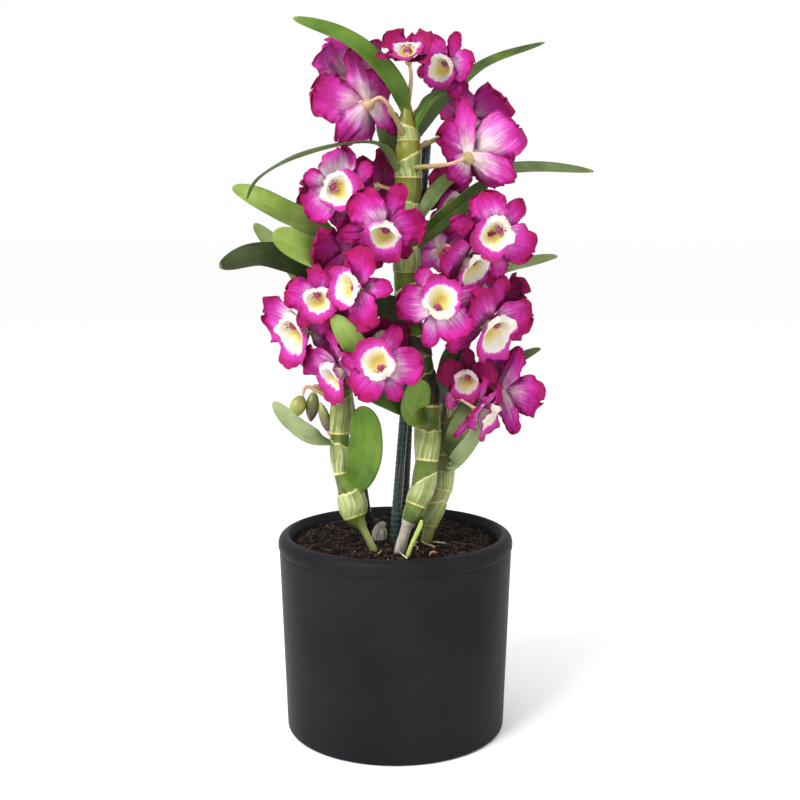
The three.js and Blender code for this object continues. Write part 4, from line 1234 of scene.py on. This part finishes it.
def make_stake(name, foot, top, radius, material, slot):
    """A straight stake with fine ridges across it and a rounded top."""
    foot, top = np.array(foot, float), np.array(top, float)
    length = np.linalg.norm(top - foot)
    shank = np.arange(0, length - radius, STAKE_STEP) / length
    crown = 1 - radius / length * (1 - np.sin(np.linspace(0, 1.5, 6)))
    t = np.concatenate([shank, crown])
    cap = np.clip((t - (1 - radius / length)) * length / radius, 0, 1)
    radii = radius * (1 + RIDGE_SHARE * np.cos(TURN * t * length / RIDGE_PITCH))
    build = Build()
    build.tube(foot + np.outer(t, top - foot), radii * np.sqrt(np.clip(1 - cap**2, 0.01, 1)), 20)
    build.finish(name + "_fine", [material], slot, [name])


def make_bulb(material):
    """The dry old bulb: a wrinkled, ribbed cone with a bent tip."""
    spine = cane_at(OLD_BULB, np.linspace(OLD_BULB[0][2], OLD_BULB[-1][2], 34))

    def wrinkles(t, angle):
        ribs = 0.1 * np.cos(7 * angle + 2 * t)
        return 1 + ribs + 0.06 * np.cos(13 * angle - 5 * t) + 0.03 * np.sin(40 * t)

    build = Build()
    build.tube(spine[:, :3], BULB_SHARE * spine[:, 3], 44, 0, wrinkles)
    build.finish("old_bulb_fine", [material], "dry_bulb", ["old_bulb"])


def make_shoot(material):
    """The young shoot, with a ring at each node."""
    heights = np.linspace(YOUNG_SHOOT[0][2], YOUNG_SHOOT[-1][2], 40)
    spine = cane_at(YOUNG_SHOOT, heights)
    share = 1
    for height, stands_out in SHOOT_NODES:
        share = share + stands_out * np.exp(-(((heights - height) / 1.2) ** 2))
    build = Build()
    build.tube(spine[:, :3], spine[:, 3] * share, 14)
    build.finish("young_shoot_fine", [material], "cane", ["young_shoot"])


def make_roots(name, roots, material):
    """Root ends that show on the peat by the canes' feet."""
    build = Build()
    t = np.linspace(0, 1, 18)
    for points, radius in roots:
        build.tube(curve(points, t), radius * (1 - 0.5 * t**3), 8, up=(0.3, 0.2, 1))
    build.finish(name, [material], "cane")


# ---- the stage


def make_stage():
    """The camera where the photograph was taken, a pale floor, a white studio and two soft lights."""
    camera = bpy.data.cameras.new("camera")
    camera.lens = CAMERA_LENS
    holder = show("camera", camera, CAMERA_PLACE)
    holder.rotation_euler = (math.radians(90 - CAMERA_PITCH), 0, 0)
    bpy.context.scene.camera = holder

    floor_mesh = bpy.data.meshes.new("floor")
    floor_mesh.from_pydata([(-30, -30, 0), (30, -30, 0), (30, 30, 0), (-30, 30, 0)], [], [(0, 1, 2, 3)])
    floor_mesh.materials.append(Shader("floor", Roughness=0.7).finish(tint("#fdfdfc")))
    show("floor", floor_mesh)

    world = bpy.data.worlds.new("studio")
    world.use_nodes = True
    world.node_tree.nodes["Background"].inputs[0].default_value = (1, 1, 1, 1)
    bpy.context.scene.world = world
    bpy.context.scene.view_settings.view_transform = "Standard"

    for name, place, size, power in (
        ("key", (-650, -800, 1150), 0.6, 20),
        ("fill", (900, -700, 500), 0.9, 2),
    ):
        light = bpy.data.lights.new(name, "AREA")
        light.size = size
        light.energy = power
        lamp = show(name, light, place)
        aim = np.array([0, 0, 0.26]) - np.array(lamp.location)
        yaw = math.atan2(aim[1], aim[0]) - math.pi / 2
        pitch = math.atan2(aim[2], math.hypot(aim[0], aim[1])) + math.pi / 2
        lamp.rotation_euler = (pitch, 0, yaw)


# ---- assembly

make_stage()

cane_skin = cane_material()
stalk_skin = stalk_material()
make_blooms([petal_material(), lip_material(), column_material(), stalk_skin])

leaf_skins = {name: leaf_material(name, *greens) for name, greens in LEAF_GREENS.items()}
for number, (*leaf, green) in enumerate([*LEAVES, CANE_LEAF]):
    make_leaf(number, *leaf, leaf_skins[green], ["leaf_" + leaf[0]] if number < len(LEAVES) else [])

for cane_name in CANES:
    make_cane(cane_name, cane_skin)
make_stalks(stalk_skin)

for bud_name, colours in BUD_COLOURS.items():
    make_bud(bud_name, *BUDS[bud_name][2:], bud_material(bud_name, *colours), "cane")
magenta = bud_material("bud_magenta", "#c9a2a8", "#c02a8e", "#a01574")
make_bud("flower_bud_fine", *BUDS["flower_bud_fine"][2:], magenta, "petal", ["flower_bud"])

make_pot(pot_material())
make_soil(peat_material())
brown_fibre = plain_material("fibre_brown", "#22130f", "#4a322a", 300, 0.95)
pale_fibre = plain_material("fibre_pale", "#6a5448", "#93806f", 300, 0.9)
dark_crumb = plain_material("crumb_dark", "#120a09", "#33241f", 600, 0.95)
pale_crumb = plain_material("crumb_pale", "#8f8678", "#c4beb2", 600, 0.85)
make_fibres("fibres_brown", brown_fibre, 700, 11, (2.5, 8), 0.2)
make_fibres("fibres_pale", pale_fibre, 40, 12, (2, 6), 0.16)
make_crumbs("crumbs_dark", dark_crumb, 420, 13, (0.5, 1.4))
make_crumbs("crumbs_pale", pale_crumb, 9, 14, (0.3, 0.6))
green_plastic = stake_material("green_plastic", "#243735", "#334744")
black_plastic = stake_material("black_plastic", "#101214", "#1d1f21")
for stake_name, stake in STAKES.items():
    if stake_name == "stake_green":
        make_stake(stake_name, *stake, green_plastic, "green_stake")
    else:
        make_stake(stake_name, *stake, black_plastic, "black_stake")
make_bulb(husk_material())
make_shoot(bud_material("young_shoot", "#8fa348", "#b3c465", "#9db356"))
make_roots("roots_tan", ROOTS_TAN, plain_material("root_tan", "#7a4630", "#b5754e", 200, 0.7))
make_roots("roots_pale", ROOTS_PALE, plain_material("root_pale", "#8f8368", "#cfc4a6", 200, 0.7))
